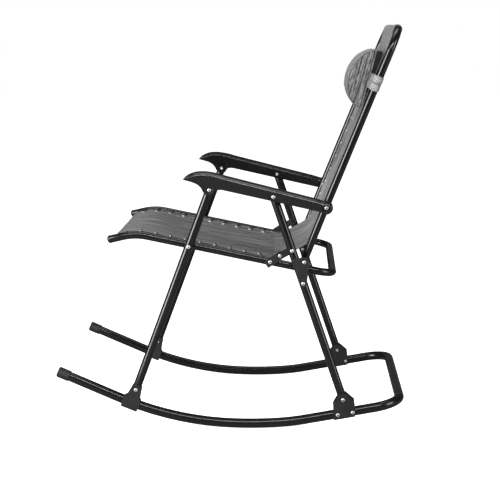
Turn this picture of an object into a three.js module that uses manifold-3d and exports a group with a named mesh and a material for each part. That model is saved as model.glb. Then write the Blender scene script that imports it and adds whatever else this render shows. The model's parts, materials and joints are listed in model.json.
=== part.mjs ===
// Folding camp rocking chair. Millimetres, +Z up, the sitter faces -X and the sitter's left is -Y.
// The origin is on the floor, under the middle of the chair's length and width.
import * as THREE from "three";
import { mergeVertices } from "three/addons/utils/BufferGeometryUtils.js";
import Module from "manifold-3d";

const wasm = await Module();
wasm.setup();

// ---- driving dimensions ----
const gap = 0.3; // between parts that touch
const railRadius = 12.5;
const legRadius = 11;
const frameRadius = 10; // tubes of the seat frame and the back frame
const tubeWall = 1.2;
const legPlane = 290; // distance of the legs and rocker rails from the middle
const framePlane = 261; // distance of the seat and back tubes from the middle
const plateThickness = 2;
const bendStepAngle = Math.PI / 11;

// Pivots in the side view, as [x, z].
const clipPivot = [-244.4, 101.5];
const seatPivot = [-106.1, 475.0];
const frontArmPivot = [-51.9, 621.3];
const rearArmPivot = [109.9, 604.7];
const backPivot = [243.8, 577.4];
const lugPivot = [101.6, 432.9];
const linkJoint = [126.6, 449.5];
const linkPivot = [157.3, 466.1];
const plateTopPivot = [188.8, 437.8];
const platePivot = [185.9, 382.4];
const bracketPivot = [290.2, 79.6];
const backTop = [423.0, 1023.0]; // middle of the back frame's top tube

// Rocker rail: tangent arcs each side of its lowest point, then straight ends.
const railLowestX = 42;
const railMiddleRadius = 1113;
const railFront = { flatTurn: 2.3, bendRadius: 806, slope: 23.1 };
const railRear = { flatTurn: 4.3, bendRadius: 650, slope: 10.5 };
const railFrontEndX = -445.28;
const railRearX = 440;
const railCornerRadius = 70;
const railRestZ = railRadius * Math.cos(Math.PI / 12); // the rail rests on one of its twelve flats

// Seat frame: corners of the bent tube in the side view.
const seatFrontEnd = [-309, 489];
const seatBend = [-247, 503.5];
const seatRear = [262, 400.4];

// Sling: it ends short of the tubes at both sides for the lacing. The back's part lies in the
// plane of the tubes' middle lines; the seat's part lies above theirs, and less so at the front.
const seatSlingLift = 6;
const seatSlingFrontLift = 2;
const slingThickness = 2;
const slingHalfWidth = 236;
const slingTopHalfWidth = 192;
const lacingRadius = 2;

// Headrest, measured from the back pivot along the back frame.
const strapAlong = 334;
const strapWidth = 38;
const pillowAlong = 336;
const pillowHeight = 158;
const pillowDepth = 57;
const pillowHalfWidth = 130;

const sides = [
  ["left", -1],
  ["right", 1],
];

// ---- colours ----
const paint = new THREE.MeshStandardMaterial({ color: 0x1b1b1d, roughness: 0.42, metalness: 0.35 });
const zinc = new THREE.MeshStandardMaterial({ color: 0xc9c9c6, roughness: 0.3, metalness: 0.9 });
const plastic = new THREE.MeshStandardMaterial({ color: 0x151516, roughness: 0.5, metalness: 0 });
const rubber = new THREE.MeshStandardMaterial({ color: 0x121212, roughness: 0.75, metalness: 0 });
const mesh = new THREE.MeshStandardMaterial({ color: 0x6a6b6d, roughness: 0.8, metalness: 0 });
const pillowCloth = new THREE.MeshStandardMaterial({ color: 0x8d8f91, roughness: 0.85, metalness: 0 });
const elastic = new THREE.MeshStandardMaterial({ color: 0xa9abac, roughness: 0.8, metalness: 0 });
const bungee = new THREE.MeshStandardMaterial({ color: 0x232324, roughness: 0.8, metalness: 0 });

const chair = new THREE.Group();

function add(name, geometry, material) {
  const part = new THREE.Mesh(geometry, material);
  part.name = name;
  chair.add(part);
}

// ---- solids ----
function solidOf(geometry) {
  const bare = geometry.clone();
  bare.deleteAttribute("normal");
  bare.deleteAttribute("uv");
  const merged = mergeVertices(bare, 1e-3);
  const vertProperties = new Float32Array(merged.attributes.position.array);
  const triVerts = new Uint32Array(merged.index.array);
  return new wasm.Manifold(new wasm.Mesh({ numProp: 3, vertProperties, triVerts }));
}

function geometryOf(solid) {
  const made = solid.getMesh();
  const geometry = new THREE.BufferGeometry();
  geometry.setAttribute("position", new THREE.BufferAttribute(made.vertProperties, 3));
  geometry.setIndex(new THREE.BufferAttribute(made.triVerts, 1));
  return geometry;
}

function joined(...geometries) {
  return geometryOf(geometries.map(solidOf).reduce((whole, next) => whole.add(next)));
}

function cut(geometry, ...tools) {
  return geometryOf(tools.map(solidOf).reduce((left, tool) => left.subtract(tool), solidOf(geometry)));
}

// A shape drawn in the side view, given thickness along Y between two distances from the middle.
function slab(shape, side, inner, outer, curveSegments = 6) {
  const depth = outer - inner;
  const geometry = new THREE.ExtrudeGeometry(shape, { depth, bevelEnabled: false, curveSegments });
  geometry.rotateX(Math.PI / 2);
  geometry.translate(0, side > 0 ? outer : -inner, 0);
  return geometry;
}

function cylinderAcross([x, z], side, inner, outer, radius, facets) {
  const geometry = new THREE.CylinderGeometry(radius, radius, outer - inner, facets);
  geometry.translate(x, (side * (inner + outer)) / 2, z);
  return geometry;
}

// ---- paths and tubes ----
// A path with one tube section at each of its points, square to the bend there.
class PointPath extends THREE.Curve {
  constructor(points) {
    super();
    this.points = points;
  }
  getPointAt(u, target = new THREE.Vector3()) {
    const place = u * (this.points.length - 1);
    const index = Math.min(Math.floor(place), this.points.length - 2);
    return target.lerpVectors(this.points[index], this.points[index + 1], place - index);
  }
  getTangentAt(u, target = new THREE.Vector3()) {
    const last = this.points.length - 1;
    const index = Math.round(u * last);
    const here = this.points[index];
    const arriving = here.clone().sub(this.points[Math.max(index - 1, 0)]).normalize();
    const leaving = this.points[Math.min(index + 1, last)].clone().sub(here).normalize();
    return target.addVectors(arriving, leaving).normalize();
  }
}

function roundShape(radius, facets) {
  const points = [];
  for (let i = 0; i < facets; i++) {
    const angle = (2 * Math.PI * (i + 0.5)) / facets;
    points.push(new THREE.Vector2(radius * Math.cos(angle), radius * Math.sin(angle)));
  }
  return new THREE.Shape(points);
}

function tube(points, radius, { wall = tubeWall, facets = 12 } = {}) {
  const shape = roundShape(radius, facets);
  if (wall) shape.holes.push(roundShape(radius - wall, facets));
  const extrudePath = new PointPath(points);
  return new THREE.ExtrudeGeometry(shape, { steps: points.length - 1, extrudePath });
}

// Points along straight runs joined by round bends. Each corner is [x, y, z, bend radius].
function bentPath(corners) {
  const at = corners.map(([x, y, z]) => new THREE.Vector3(x, y, z));
  const points = [];
  corners.forEach(([, , , radius = 0], i) => {
    if (!radius) {
      points.push(at[i]);
      return;
    }
    const arriving = at[i].clone().sub(at[i - 1]).normalize();
    const leaving = at[i + 1].clone().sub(at[i]).normalize();
    const turn = arriving.angleTo(leaving);
    const inward = leaving.clone().addScaledVector(arriving, -Math.cos(turn)).normalize();
    const bendSteps = Math.max(2, Math.ceil(turn / bendStepAngle));
    const start = at[i].clone().addScaledVector(arriving, -radius * Math.tan(turn / 2));
    for (let k = 0; k <= bendSteps; k++) {
      const angle = (turn * k) / bendSteps;
      points.push(
        start
          .clone()
          .addScaledVector(arriving, radius * Math.sin(angle))
          .addScaledVector(inward, radius * (1 - Math.cos(angle))),
      );
    }
  });
  return points;
}

// ---- side-view helpers ----
const radians = THREE.MathUtils.degToRad;

function direction(from, to) {
  const length = Math.hypot(to[0] - from[0], to[1] - from[1]);
  return [(to[0] - from[0]) / length, (to[1] - from[1]) / length];
}

function moved([x, z], [dx, dz], distance) {
  return [x + dx * distance, z + dz * distance];
}

// Lays a turned geometry's axis along a side-view direction and puts its zero at a place.
function alongLine(geometry, [dx, dz], place) {
  const turn = new THREE.Quaternion().setFromUnitVectors(new THREE.Vector3(0, 1, 0), new THREE.Vector3(dx, 0, dz));
  geometry.applyQuaternion(turn);
  geometry.translate(...place);
  return geometry;
}

// A belt drawn round circles listed anticlockwise, each [[x, z], radius].
function beltShape(circles) {
  const shape = new THREE.Shape();
  const normals = circles.map(([centre, radius], i) => {
    const [next, nextRadius] = circles[(i + 1) % circles.length];
    const run = Math.atan2(next[1] - centre[1], next[0] - centre[0]);
    const spread = Math.hypot(next[0] - centre[0], next[1] - centre[1]);
    return run - Math.acos((radius - nextRadius) / spread);
  });
  circles.forEach(([[x, z], radius], i) => {
    const arriving = normals[(i + circles.length - 1) % circles.length];
    shape.absarc(x, z, radius, arriving, normals[i], false);
  });
  return shape;
}

// Closed outline through plain points.
function polygon(points) {
  return new THREE.Shape(points.map(([x, z]) => new THREE.Vector2(x, z)));
}

// ---- rivets ----
const rivetFacets = 8;
const shankRadius = 3;
const holeRadius = 3.6;
const headRadius = 4.8;
const headHeight = 2.2;
const tailRadius = 4.2;
const tailHeight = 1.6;

// A rivet across the chair: a domed head outside, a tail inside, and shoulders between, each
// [from, to, radius] in distances from the middle.
function rivet([x, z], side, inner, outer, { shoulders = [], head = headHeight, tail = tailHeight } = {}) {
  const profile = [new THREE.Vector2(0, inner - tail)];
  if (tail) {
    profile.push(new THREE.Vector2(tailRadius, inner - tail));
    profile.push(new THREE.Vector2(tailRadius, inner - gap / 2));
    profile.push(new THREE.Vector2(shankRadius, inner - gap / 2));
  } else profile.push(new THREE.Vector2(shankRadius, inner));
  shoulders.forEach(([from, to, radius]) => {
    profile.push(new THREE.Vector2(shankRadius, from));
    profile.push(new THREE.Vector2(radius, from));
    profile.push(new THREE.Vector2(radius, to));
    profile.push(new THREE.Vector2(shankRadius, to));
  });
  profile.push(new THREE.Vector2(shankRadius, outer + gap / 2));
  profile.push(new THREE.Vector2(headRadius, outer + gap / 2));
  profile.push(new THREE.Vector2(headRadius * 0.94, outer + head * 0.5));
  profile.push(new THREE.Vector2(headRadius * 0.6, outer + head * 0.9));
  profile.push(new THREE.Vector2(0, outer + head));
  const geometry = new THREE.LatheGeometry(profile, rivetFacets);
  if (side < 0) geometry.rotateX(Math.PI);
  geometry.translate(x, 0, z);
  return geometry;
}

function hole(pivot, side, inner, outer) {
  return cylinderAcross(pivot, side, inner, outer, holeRadius, rivetFacets);
}

// ---- rocker base ----
// Points of one half of the rail in the side view, from its lowest point outwards.
function railHalf({ flatTurn, bendRadius, slope }, endX, sign, steps) {
  const points = [];
  let x = railLowestX;
  let z = railRestZ;
  let angle = 0;
  const arcs = [
    [railMiddleRadius, flatTurn],
    [bendRadius, slope],
  ];
  arcs.forEach(([radius, until], arc) => {
    const from = angle;
    for (let k = 1; k <= steps[arc]; k++) {
      const next = from + ((until - from) * k) / steps[arc];
      x += sign * radius * (Math.sin(radians(next)) - Math.sin(radians(angle)));
      z += radius * (Math.cos(radians(angle)) - Math.cos(radians(next)));
      angle = next;
      points.push([x, z]);
    }
  });
  points.push([endX, z + Math.abs(endX - x) * Math.tan(radians(slope))]);
  return points;
}

const frontHalf = railHalf(railFront, railFrontEndX, -1, [1, 6]);
const rearHalf = railHalf(railRear, railRearX, 1, [2, 3]);
const railLine = [...frontHalf.toReversed(), [railLowestX, railRestZ], ...rearHalf];
const railRearZ = railLine.at(-1)[1];

function rockerBase() {
  const left = railLine.slice(0, -1).map(([x, z]) => [x, -legPlane, z]);
  const right = left.toReversed().map(([x, , z]) => [x, legPlane, z]);
  const corners = [
    [railRearX, -legPlane, railRearZ, railCornerRadius],
    [railRearX, legPlane, railRearZ, railCornerRadius],
  ];
  const bentTube = tube(bentPath([...left, ...corners, ...right]), railRadius);
  const drills = sides.flatMap(([, side]) =>
    bracketRivets.map((place) => hole(place, side, legPlane - 20, legPlane + 20)),
  );
  return cut(bentTube, ...drills);
}

const capLength = 33;
const capRadius = 14.5;

// A rubber cup pushed over the front end of a rail.
function rockerCap(side) {
  const bore = railRadius + gap;
  const depth = capLength - 3;
  const profile = [
    [0, depth],
    [bore, depth],
    [bore, 0],
    [capRadius - 1, 0],
    [capRadius, 2],
    [capRadius, capLength - 4],
    [capRadius - 4, capLength],
    [0, capLength],
  ].map(([radius, height]) => new THREE.Vector2(radius, height));
  const geometry = new THREE.LatheGeometry(profile, 16);
  const slope = radians(railFront.slope);
  const along = [-Math.cos(slope), Math.sin(slope)];
  const mouth = moved(railLine[0], along, gap - depth);
  return alongLine(geometry, along, [mouth[0], side * legPlane, mouth[1]]);
}

// ---- rear brackets ----
const bracketRivetSpacing = 39;
const bracketSlope = [Math.cos(radians(railRear.slope)), Math.sin(radians(railRear.slope))];
const bracketFoot = [296.6, railRearZ - (railRearX - 296.6) * Math.tan(radians(railRear.slope))];
const bracketRivets = [-0.5, 0.5].map((share) => moved(bracketFoot, bracketSlope, share * bracketRivetSpacing));
const plateInner = legPlane - railRadius - gap - plateThickness;
const plateOuter = legPlane + railRadius + gap + plateThickness;

// Two plates riveted to the rail, joined by narrow flanges before and behind the leg.
function rearBracket(side) {
  const [fx, fz] = bracketFoot;
  const outline = polygon([
    [fx - 29.5, fz - 17.5],
    [fx + 24.5, fz - 7.5],
    [fx + 25, fz + 17],
    [fx + 23, fz + 34],
    [fx + 1, fz + 53],
    [fx - 13, fz + 53],
    [fx - 21, fz + 43],
    [fx - 32, fz + 24],
    [fx - 31, fz + 8],
  ]);
  const block = slab(outline, side, plateInner, plateOuter);
  const clearInner = plateInner + plateThickness;
  const clearOuter = plateOuter - plateThickness;
  const throat = polygon([
    [fx - 29, fz - 30],
    [fx + 23, fz - 30],
    [fx + 23, fz + 30],
    [fx + 21, fz + 60],
    [fx - 29, fz + 60],
  ]);
  const rivets = bracketRivets.map((place) => hole(place, side, plateInner - 1, plateOuter + 1));
  return cut(
    block,
    slab(throat, side, clearInner, clearOuter),
    tube([new THREE.Vector3(...railPoint(-70, side)), new THREE.Vector3(...railPoint(70, side))], railRadius + gap, {
      wall: 0,
    }),
    hole(bracketPivot, side, plateInner - 1, plateOuter + 1),
    ...rivets,
  );
}

function railPoint(along, side) {
  const [x, z] = moved(bracketFoot, bracketSlope, along);
  return [x, side * legPlane, z];
}

// ---- legs ----
const legEnd = 11; // how far a leg runs past its end pivots

function leg(side, top, bottom, drilled) {
  const along = direction(top, bottom);
  const ends = [moved(top, along, -legEnd), moved(bottom, along, legEnd)];
  const points = ends.map(([x, z]) => new THREE.Vector3(x, side * legPlane, z));
  const drills = [top, bottom, ...drilled].map((pivot) => hole(pivot, side, legPlane - 20, legPlane + 20));
  return cut(tube(points, legRadius), ...drills);
}

// ---- front clips ----
const clipTilt = radians(-21.5); // along the rail under the clip
const clipRailDrop = 37; // from the clip pivot square down to the middle of the rail

function clipPlace([along, up]) {
  const [x, z] = clipPivot;
  const [c, s] = [Math.cos(clipTilt), Math.sin(clipTilt)];
  return [x + along * c - up * s, z + along * s + up * c];
}

// A saddle of sheet steel that snaps over the rail, with the foot of the leg between its cheeks.
function frontClip(side) {
  const outline = new THREE.Shape();
  const foot = 22.5;
  const footDrop = 54;
  const apex = 14;
  const corners = [
    [apex, -4],
    [18, -22],
    [foot, -28],
    [foot, -footDrop],
    [-foot, -footDrop],
    [-foot, -28],
    [-17.5, -22],
    [-apex, -4],
  ];
  corners.forEach((corner, i) => {
    const [x, z] = clipPlace(corner);
    if (i) outline.lineTo(x, z);
    else outline.moveTo(x, z);
  });
  outline.absarc(...clipPivot, apex, Math.PI + clipTilt, clipTilt, true);
  const block = slab(outline, side, plateInner, plateOuter);
  const clearInner = plateInner + plateThickness;
  const clearOuter = plateOuter - plateThickness;
  const saddleTop = -clipRailDrop + railRadius + gap + plateThickness;
  const legSlot = polygon([[-30, 30], [-30, saddleTop], [30, saddleTop], [30, 30]].map(clipPlace));
  const railSlot = polygon(
    [[-30, -clipRailDrop], [-30, -80], [30, -80], [30, -clipRailDrop]].map(clipPlace),
  );
  const railRun = [-40, 40].map((along) => {
    const [x, z] = clipPlace([along, -clipRailDrop]);
    return new THREE.Vector3(x, side * legPlane, z);
  });
  return cut(
    block,
    slab(legSlot, side, clearInner, clearOuter),
    slab(railSlot, side, clearInner, clearOuter),
    tube(railRun, railRadius + gap, { wall: 0 }),
    hole(clipPivot, side, plateInner - 1, plateOuter + 1),
  );
}

// ---- armrests ----
const armInner = 274; // inner face of the inner skirt
const armOuter = 309; // outer face of the outer skirt
const armWall = 3;
const crownOver = 4; // how far the crowned top overhangs the outer skirt
const bossRadius = 16.5;
const armTopFront = [-12, 657]; // ends of the straight top
const armTopRear = [225, 598];

function armOutline() {
  const shape = new THREE.Shape();
  shape.moveTo(-119, 648);
  shape.bezierCurveTo(-100, 641, -76, 641, -68.5, 617);
  shape.absarc(...frontArmPivot, 15, Math.PI + 0.25, -0.12, false);
  shape.quadraticCurveTo(-33, 624, -18, 621.5);
  shape.lineTo(225, 566);
  shape.absarc(...backPivot, bossRadius, -2.4, Math.PI / 2 + 0.25, false);
  shape.lineTo(...armTopRear);
  shape.lineTo(...armTopFront);
  shape.bezierCurveTo(-60, 672, -98, 674, -119, 648);
  return shape;
}

// The band under the top edge that bulges sideways into a crown.
function crownOutline() {
  const shape = new THREE.Shape();
  shape.moveTo(-119, 648);
  shape.bezierCurveTo(-94, 661, -60, 660, -14, 646);
  shape.lineTo(214, 590);
  shape.lineTo(...moved(armTopRear, direction(armTopRear, armTopFront), 9));
  shape.lineTo(...armTopFront);
  shape.bezierCurveTo(-60, 672, -98, 674, -119, 648);
  return shape;
}

function armChannel() {
  const shape = new THREE.Shape();
  shape.moveTo(-71, 560);
  shape.lineTo(-71, 646);
  shape.quadraticCurveTo(-60, 661, -13, 652.5);
  shape.lineTo(224, 593.8);
  shape.lineTo(backPivot[0] + 2, backPivot[1] + bossRadius - armWall);
  shape.absarc(...backPivot, bossRadius - armWall, Math.PI / 2, -0.4, true);
  shape.lineTo(backPivot[0] + 14, 520);
  return shape;
}

function armrest(side) {
  const skirts = slab(armOutline(), side, armInner, armOuter);
  const crown = slab(crownOutline(), side, armInner - 2, armOuter + crownOver);
  const channel = slab(armChannel(), side, armInner + armWall, armOuter - armWall);
  const pivots = [frontArmPivot, rearArmPivot, backPivot];
  const drills = pivots.map((pivot) => hole(pivot, side, armInner - 5, armOuter + 5));
  return cut(joined(skirts, crown), channel, ...drills);
}

// ---- seat ----
const seatBendRadius = 150;
const seatCornerRadius = 45;

function seatFrame() {
  const half = (side) => [
    [seatFrontEnd[0], side * framePlane, seatFrontEnd[1]],
    [seatBend[0], side * framePlane, seatBend[1], seatBendRadius],
  ];
  const corners = [
    [seatRear[0], -framePlane, seatRear[1], seatCornerRadius],
    [seatRear[0], framePlane, seatRear[1], seatCornerRadius],
  ];
  const path = bentPath([...half(-1), ...corners, ...half(1).toReversed()]);
  const drills = sides.map(([, side]) => hole(seatPivot, side, framePlane - 20, framePlane + 20));
  return cut(tube(path, frameRadius), ...drills);
}

// Points of the seat rail in the side view, moved square to the rail by a distance.
function seatLine(lift) {
  const path = bentPath([
    [seatFrontEnd[0], 0, seatFrontEnd[1]],
    [seatBend[0], 0, seatBend[1], seatBendRadius],
    [seatRear[0], 0, seatRear[1]],
  ]);
  return path.map((point, i) => {
    const tangent = new PointPath(path).getTangentAt(i / (path.length - 1));
    return [point.x - tangent.z * lift, point.z + tangent.x * lift];
  });
}

const crossTubeRadius = 5.5;

// The tube that spreads the rails, hidden under the sling where the rails bend down.
function seatCrossTube() {
  const reach = framePlane - frameRadius - gap;
  const [x, z] = seatLine(-6)[2];
  const points = [-reach, reach].map((y) => new THREE.Vector3(x, y, z));
  return tube(points, crossTubeRadius);
}

// A domed plastic plug in the open front end of a seat rail.
function seatCap(side) {
  const plugRadius = frameRadius - tubeWall - gap;
  const profile = [
    [0, -16],
    [plugRadius, -16],
    [plugRadius, gap],
    [frameRadius + 0.6, gap],
    [frameRadius + 0.6, 2],
    [frameRadius - 0.8, 5.5],
    [frameRadius - 5, 8.5],
    [0, 9.2],
  ].map(([radius, height]) => new THREE.Vector2(radius, height));
  const geometry = new THREE.LatheGeometry(profile, 12);
  const [x, z] = seatFrontEnd;
  return alongLine(geometry, direction(seatBend, seatFrontEnd), [x, side * framePlane, z]);
}

// A sheet of even thickness along a side-view line.
function sheetAlong(line, halfWidth, thickness = slingThickness) {
  const normals = line.map((point, i) => {
    const run = direction(line[Math.max(i - 1, 0)], line[Math.min(i + 1, line.length - 1)]);
    return [-run[1], run[0]];
  });
  const above = line.map((point, i) => moved(point, normals[i], thickness / 2));
  const below = line.map((point, i) => moved(point, normals[i], -thickness / 2)).toReversed();
  return slab(polygon([...above, ...below]), 1, -halfWidth, halfWidth);
}

// Evenly spaced points of a smooth line through a few side-view points.
function smoothLine(points, count) {
  return new THREE.SplineCurve(points.map(([x, z]) => new THREE.Vector2(x, z)))
    .getSpacedPoints(count)
    .map(({ x, y }) => [x, y]);
}

// ---- back ----
const backSlope = direction(backPivot, backTop);
const backFront = [-backSlope[1], backSlope[0]]; // square to the back frame, towards the sitter
const backCornerRadius = 60;
const backFoot = moved(plateTopPivot, direction(plateTopPivot, backPivot), -10);

function backPlace(along, lift) {
  return moved(moved(backPivot, backSlope, along), backFront, lift);
}

function backFrame() {
  const half = (side) => [
    [backFoot[0], side * framePlane, backFoot[1]],
    [backPivot[0], side * framePlane, backPivot[1]],
  ];
  const corners = [
    [backTop[0], -framePlane, backTop[1], backCornerRadius],
    [backTop[0], framePlane, backTop[1], backCornerRadius],
  ];
  const path = bentPath([...half(-1), ...corners, ...half(1).toReversed()]);
  const drills = sides.map(([, side]) => hole(backPivot, side, framePlane - 20, framePlane + 20));
  return cut(tube(path, frameRadius), ...drills);
}

const backLength = Math.hypot(backTop[0] - backPivot[0], backTop[1] - backPivot[1]);
const slingBackStart = -88; // where the back's own part of the sling begins
const slingSeatEnd = 105; // x where the seat's part of the sling ends

function seatSlingLine() {
  const fall = (seatSlingLift - seatSlingFrontLift) / (seatRear[0] - seatFrontEnd[0]);
  const line = seatLine(seatSlingLift).map(([x, z]) => [x, z - fall * (seatRear[0] - x)]);
  line[0] = moved(line[0], direction(line[0], line[1]), 10);
  const last = line.at(-1);
  const run = direction(line.at(-2), last);
  line[line.length - 1] = moved(last, run, (slingSeatEnd - last[0]) / run[0]);
  return line;
}

function hipSlingLine() {
  const seatEnd = seatSlingLine();
  const run = direction(seatEnd.at(-2), seatEnd.at(-1));
  const start = moved(seatEnd.at(-1), run, 2 * gap);
  const end = backPlace(slingBackStart - 2 * gap, 0);
  return smoothLine([start, [132, 439], [154, 452.5], [193, 475.5], end], 12);
}

const sleeveRadius = frameRadius + gap + slingThickness / 2;

// The back's sheet, with the sleeve that folds over the top tube and is sewn down behind it.
function backSling() {
  const lower = [slingBackStart, backLength - 76].map((along) => backPlace(along, 0));
  const upper = [backPlace(backLength - 80, 0), backPlace(backLength - 60, 2)];
  const lean = Math.atan2(backFront[1], backFront[0]);
  for (let k = 0; k <= 10; k++) {
    const angle = lean - (Math.PI * k) / 10;
    upper.push([backTop[0] + sleeveRadius * Math.cos(angle), backTop[1] + sleeveRadius * Math.sin(angle)]);
  }
  upper.push(backPlace(backLength - 45, -sleeveRadius));
  return joined(sheetAlong(lower, slingHalfWidth), sheetAlong(upper, slingTopHalfWidth));
}

// ---- lacing ----
const lacingPitch = 39.2;

// A cord that runs to and fro between the edge of the sling and the tube beside it.
function lacing(line, side) {
  const curve = new PointPath(line.map(([x, z]) => new THREE.Vector3(x, 0, z)));
  let length = 0;
  for (let i = 1; i < line.length; i++) length += curve.points[i].distanceTo(curve.points[i - 1]);
  const turns = Math.round(length / (lacingPitch / 2));
  const tubeSide = framePlane - frameRadius - tailHeight - lacingRadius - gap;
  const clothSide = slingHalfWidth + lacingRadius + gap;
  const points = [];
  for (let k = 0; k <= turns; k++) {
    const place = pointAlong(curve.points, (length * k) / turns);
    place.y = side * (k % 2 ? clothSide : tubeSide);
    points.push(place);
  }
  return tube(points, lacingRadius, { wall: 0, facets: 6 });
}

function pointAlong(points, distance) {
  let left = distance;
  for (let i = 1; i < points.length; i++) {
    const step = points[i].distanceTo(points[i - 1]);
    if (left <= step || i === points.length - 1) {
      return points[i - 1].clone().lerp(points[i], Math.min(left / step, 1));
    }
    left -= step;
  }
  return points.at(-1).clone();
}

// ---- seat link ----
const lugInner = framePlane + frameRadius + gap;
const lugOuter = lugInner + 2.5;
const barInner = lugOuter + gap;
const barOuter = barInner + 2.5;

function linkLug(side) {
  const run = direction(lugPivot, linkJoint);
  const across = [-run[1], run[0]];
  const tail = moved(lugPivot, run, -13);
  const shape = polygon([
    moved(tail, across, 10),
    moved(tail, across, -10),
    moved(moved(linkJoint, run, 8), across, -10),
    moved(moved(linkJoint, run, 8), across, 10),
  ]);
  const pins = [lugPivot, linkJoint].map((pivot) => hole(pivot, side, lugInner - 1, lugOuter + 1));
  return cut(slab(shape, side, lugInner, lugOuter), ...pins);
}

function linkBar(side) {
  const shape = beltShape([
    [linkJoint, 9],
    [linkPivot, 9],
  ]);
  const pins = [linkJoint, linkPivot].map((pivot) => hole(pivot, side, barInner - 1, barOuter + 1));
  return cut(slab(shape, side, barInner, barOuter), ...pins);
}

// ---- back plates ----
const backPlateInner = legPlane + legRadius + gap;
const backPlateOuter = backPlateInner + 2.5;

function backPlate(side) {
  const legRun = direction(rearArmPivot, bracketPivot);
  const shoulder = moved(platePivot, legRun, -58);
  const shape = beltShape([
    [platePivot, 9.5],
    [plateTopPivot, 12.5],
    [shoulder, 10],
  ]);
  const pins = [platePivot, plateTopPivot].map((pivot) => hole(pivot, side, backPlateInner - 1, backPlateOuter + 1));
  return cut(slab(shape, side, backPlateInner, backPlateOuter), ...pins);
}

// ---- headrest ----
const pillowBackLift = frameRadius + gap;

function headrestPillow() {
  const points = [];
  const steps = 12;
  for (let k = 0; k <= steps; k++) {
    const angle = (Math.PI * k) / steps;
    const along = pillowAlong + (pillowHeight / 2) * Math.cos(angle);
    points.push(backPlace(along, pillowBackLift + 4 + (pillowDepth - 4) * Math.sin(angle)));
  }
  points.push(backPlace(pillowAlong - pillowHeight / 2 + 8, pillowBackLift));
  points.push(backPlace(pillowAlong + pillowHeight / 2 - 8, pillowBackLift));
  return slab(polygon(points), 1, -pillowHalfWidth, pillowHalfWidth);
}

// An elastic strap from the pillow's end, round the outside of the tube and in behind it.
function headrestStrap(side) {
  const inside = frameRadius + gap;
  const outside = inside + 1.6;
  const endY = pillowHalfWidth + gap;
  const backY = slingHalfWidth + 8;
  const shape = new THREE.Shape();
  shape.moveTo(endY, inside);
  shape.lineTo(framePlane, inside);
  shape.absarc(framePlane, 0, inside, Math.PI / 2, -Math.PI / 2, true);
  shape.lineTo(backY, -inside);
  shape.lineTo(backY, -outside);
  shape.lineTo(framePlane, -outside);
  shape.absarc(framePlane, 0, outside, -Math.PI / 2, Math.PI / 2, false);
  shape.lineTo(endY, outside);
  const geometry = new THREE.ExtrudeGeometry(shape, { depth: strapWidth, bevelEnabled: false, curveSegments: 8 });
  // The shape's axes are distance from the middle and lift off the back frame; its depth runs up the tube.
  const [x, z] = backPlace(strapAlong - strapWidth / 2, 0);
  const across = new THREE.Vector3(0, side, 0);
  const lift = new THREE.Vector3(backFront[0], 0, backFront[1]);
  const up = new THREE.Vector3(backSlope[0], 0, backSlope[1]);
  geometry.applyMatrix4(new THREE.Matrix4().makeBasis(across, lift, up).setPosition(x, 0, z));
  return side < 0 ? turnedOut(geometry) : geometry;
}

// Reverses every triangle, for a geometry that a mirroring placement turned inside out.
function turnedOut(geometry) {
  const flat = geometry.index ? geometry.toNonIndexed() : geometry;
  const places = flat.attributes.position;
  for (let i = 0; i < places.count; i += 3) {
    const first = [places.getX(i), places.getY(i), places.getZ(i)];
    places.setXYZ(i, places.getX(i + 1), places.getY(i + 1), places.getZ(i + 1));
    places.setXYZ(i + 1, ...first);
  }
  return flat;
}

// ---- the chair ----
add("rocker_base", rockerBase(), paint);
add("seat_frame", seatFrame(), paint);
add("seat_cross_tube", seatCrossTube(), paint);
add("back_frame", backFrame(), paint);
add("seat_sling", sheetAlong(seatSlingLine(), slingHalfWidth), mesh);
add("hip_sling", sheetAlong(hipSlingLine(), slingHalfWidth), mesh);
add("back_sling", backSling(), mesh);
add("headrest_pillow", headrestPillow(), pillowCloth);

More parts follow.
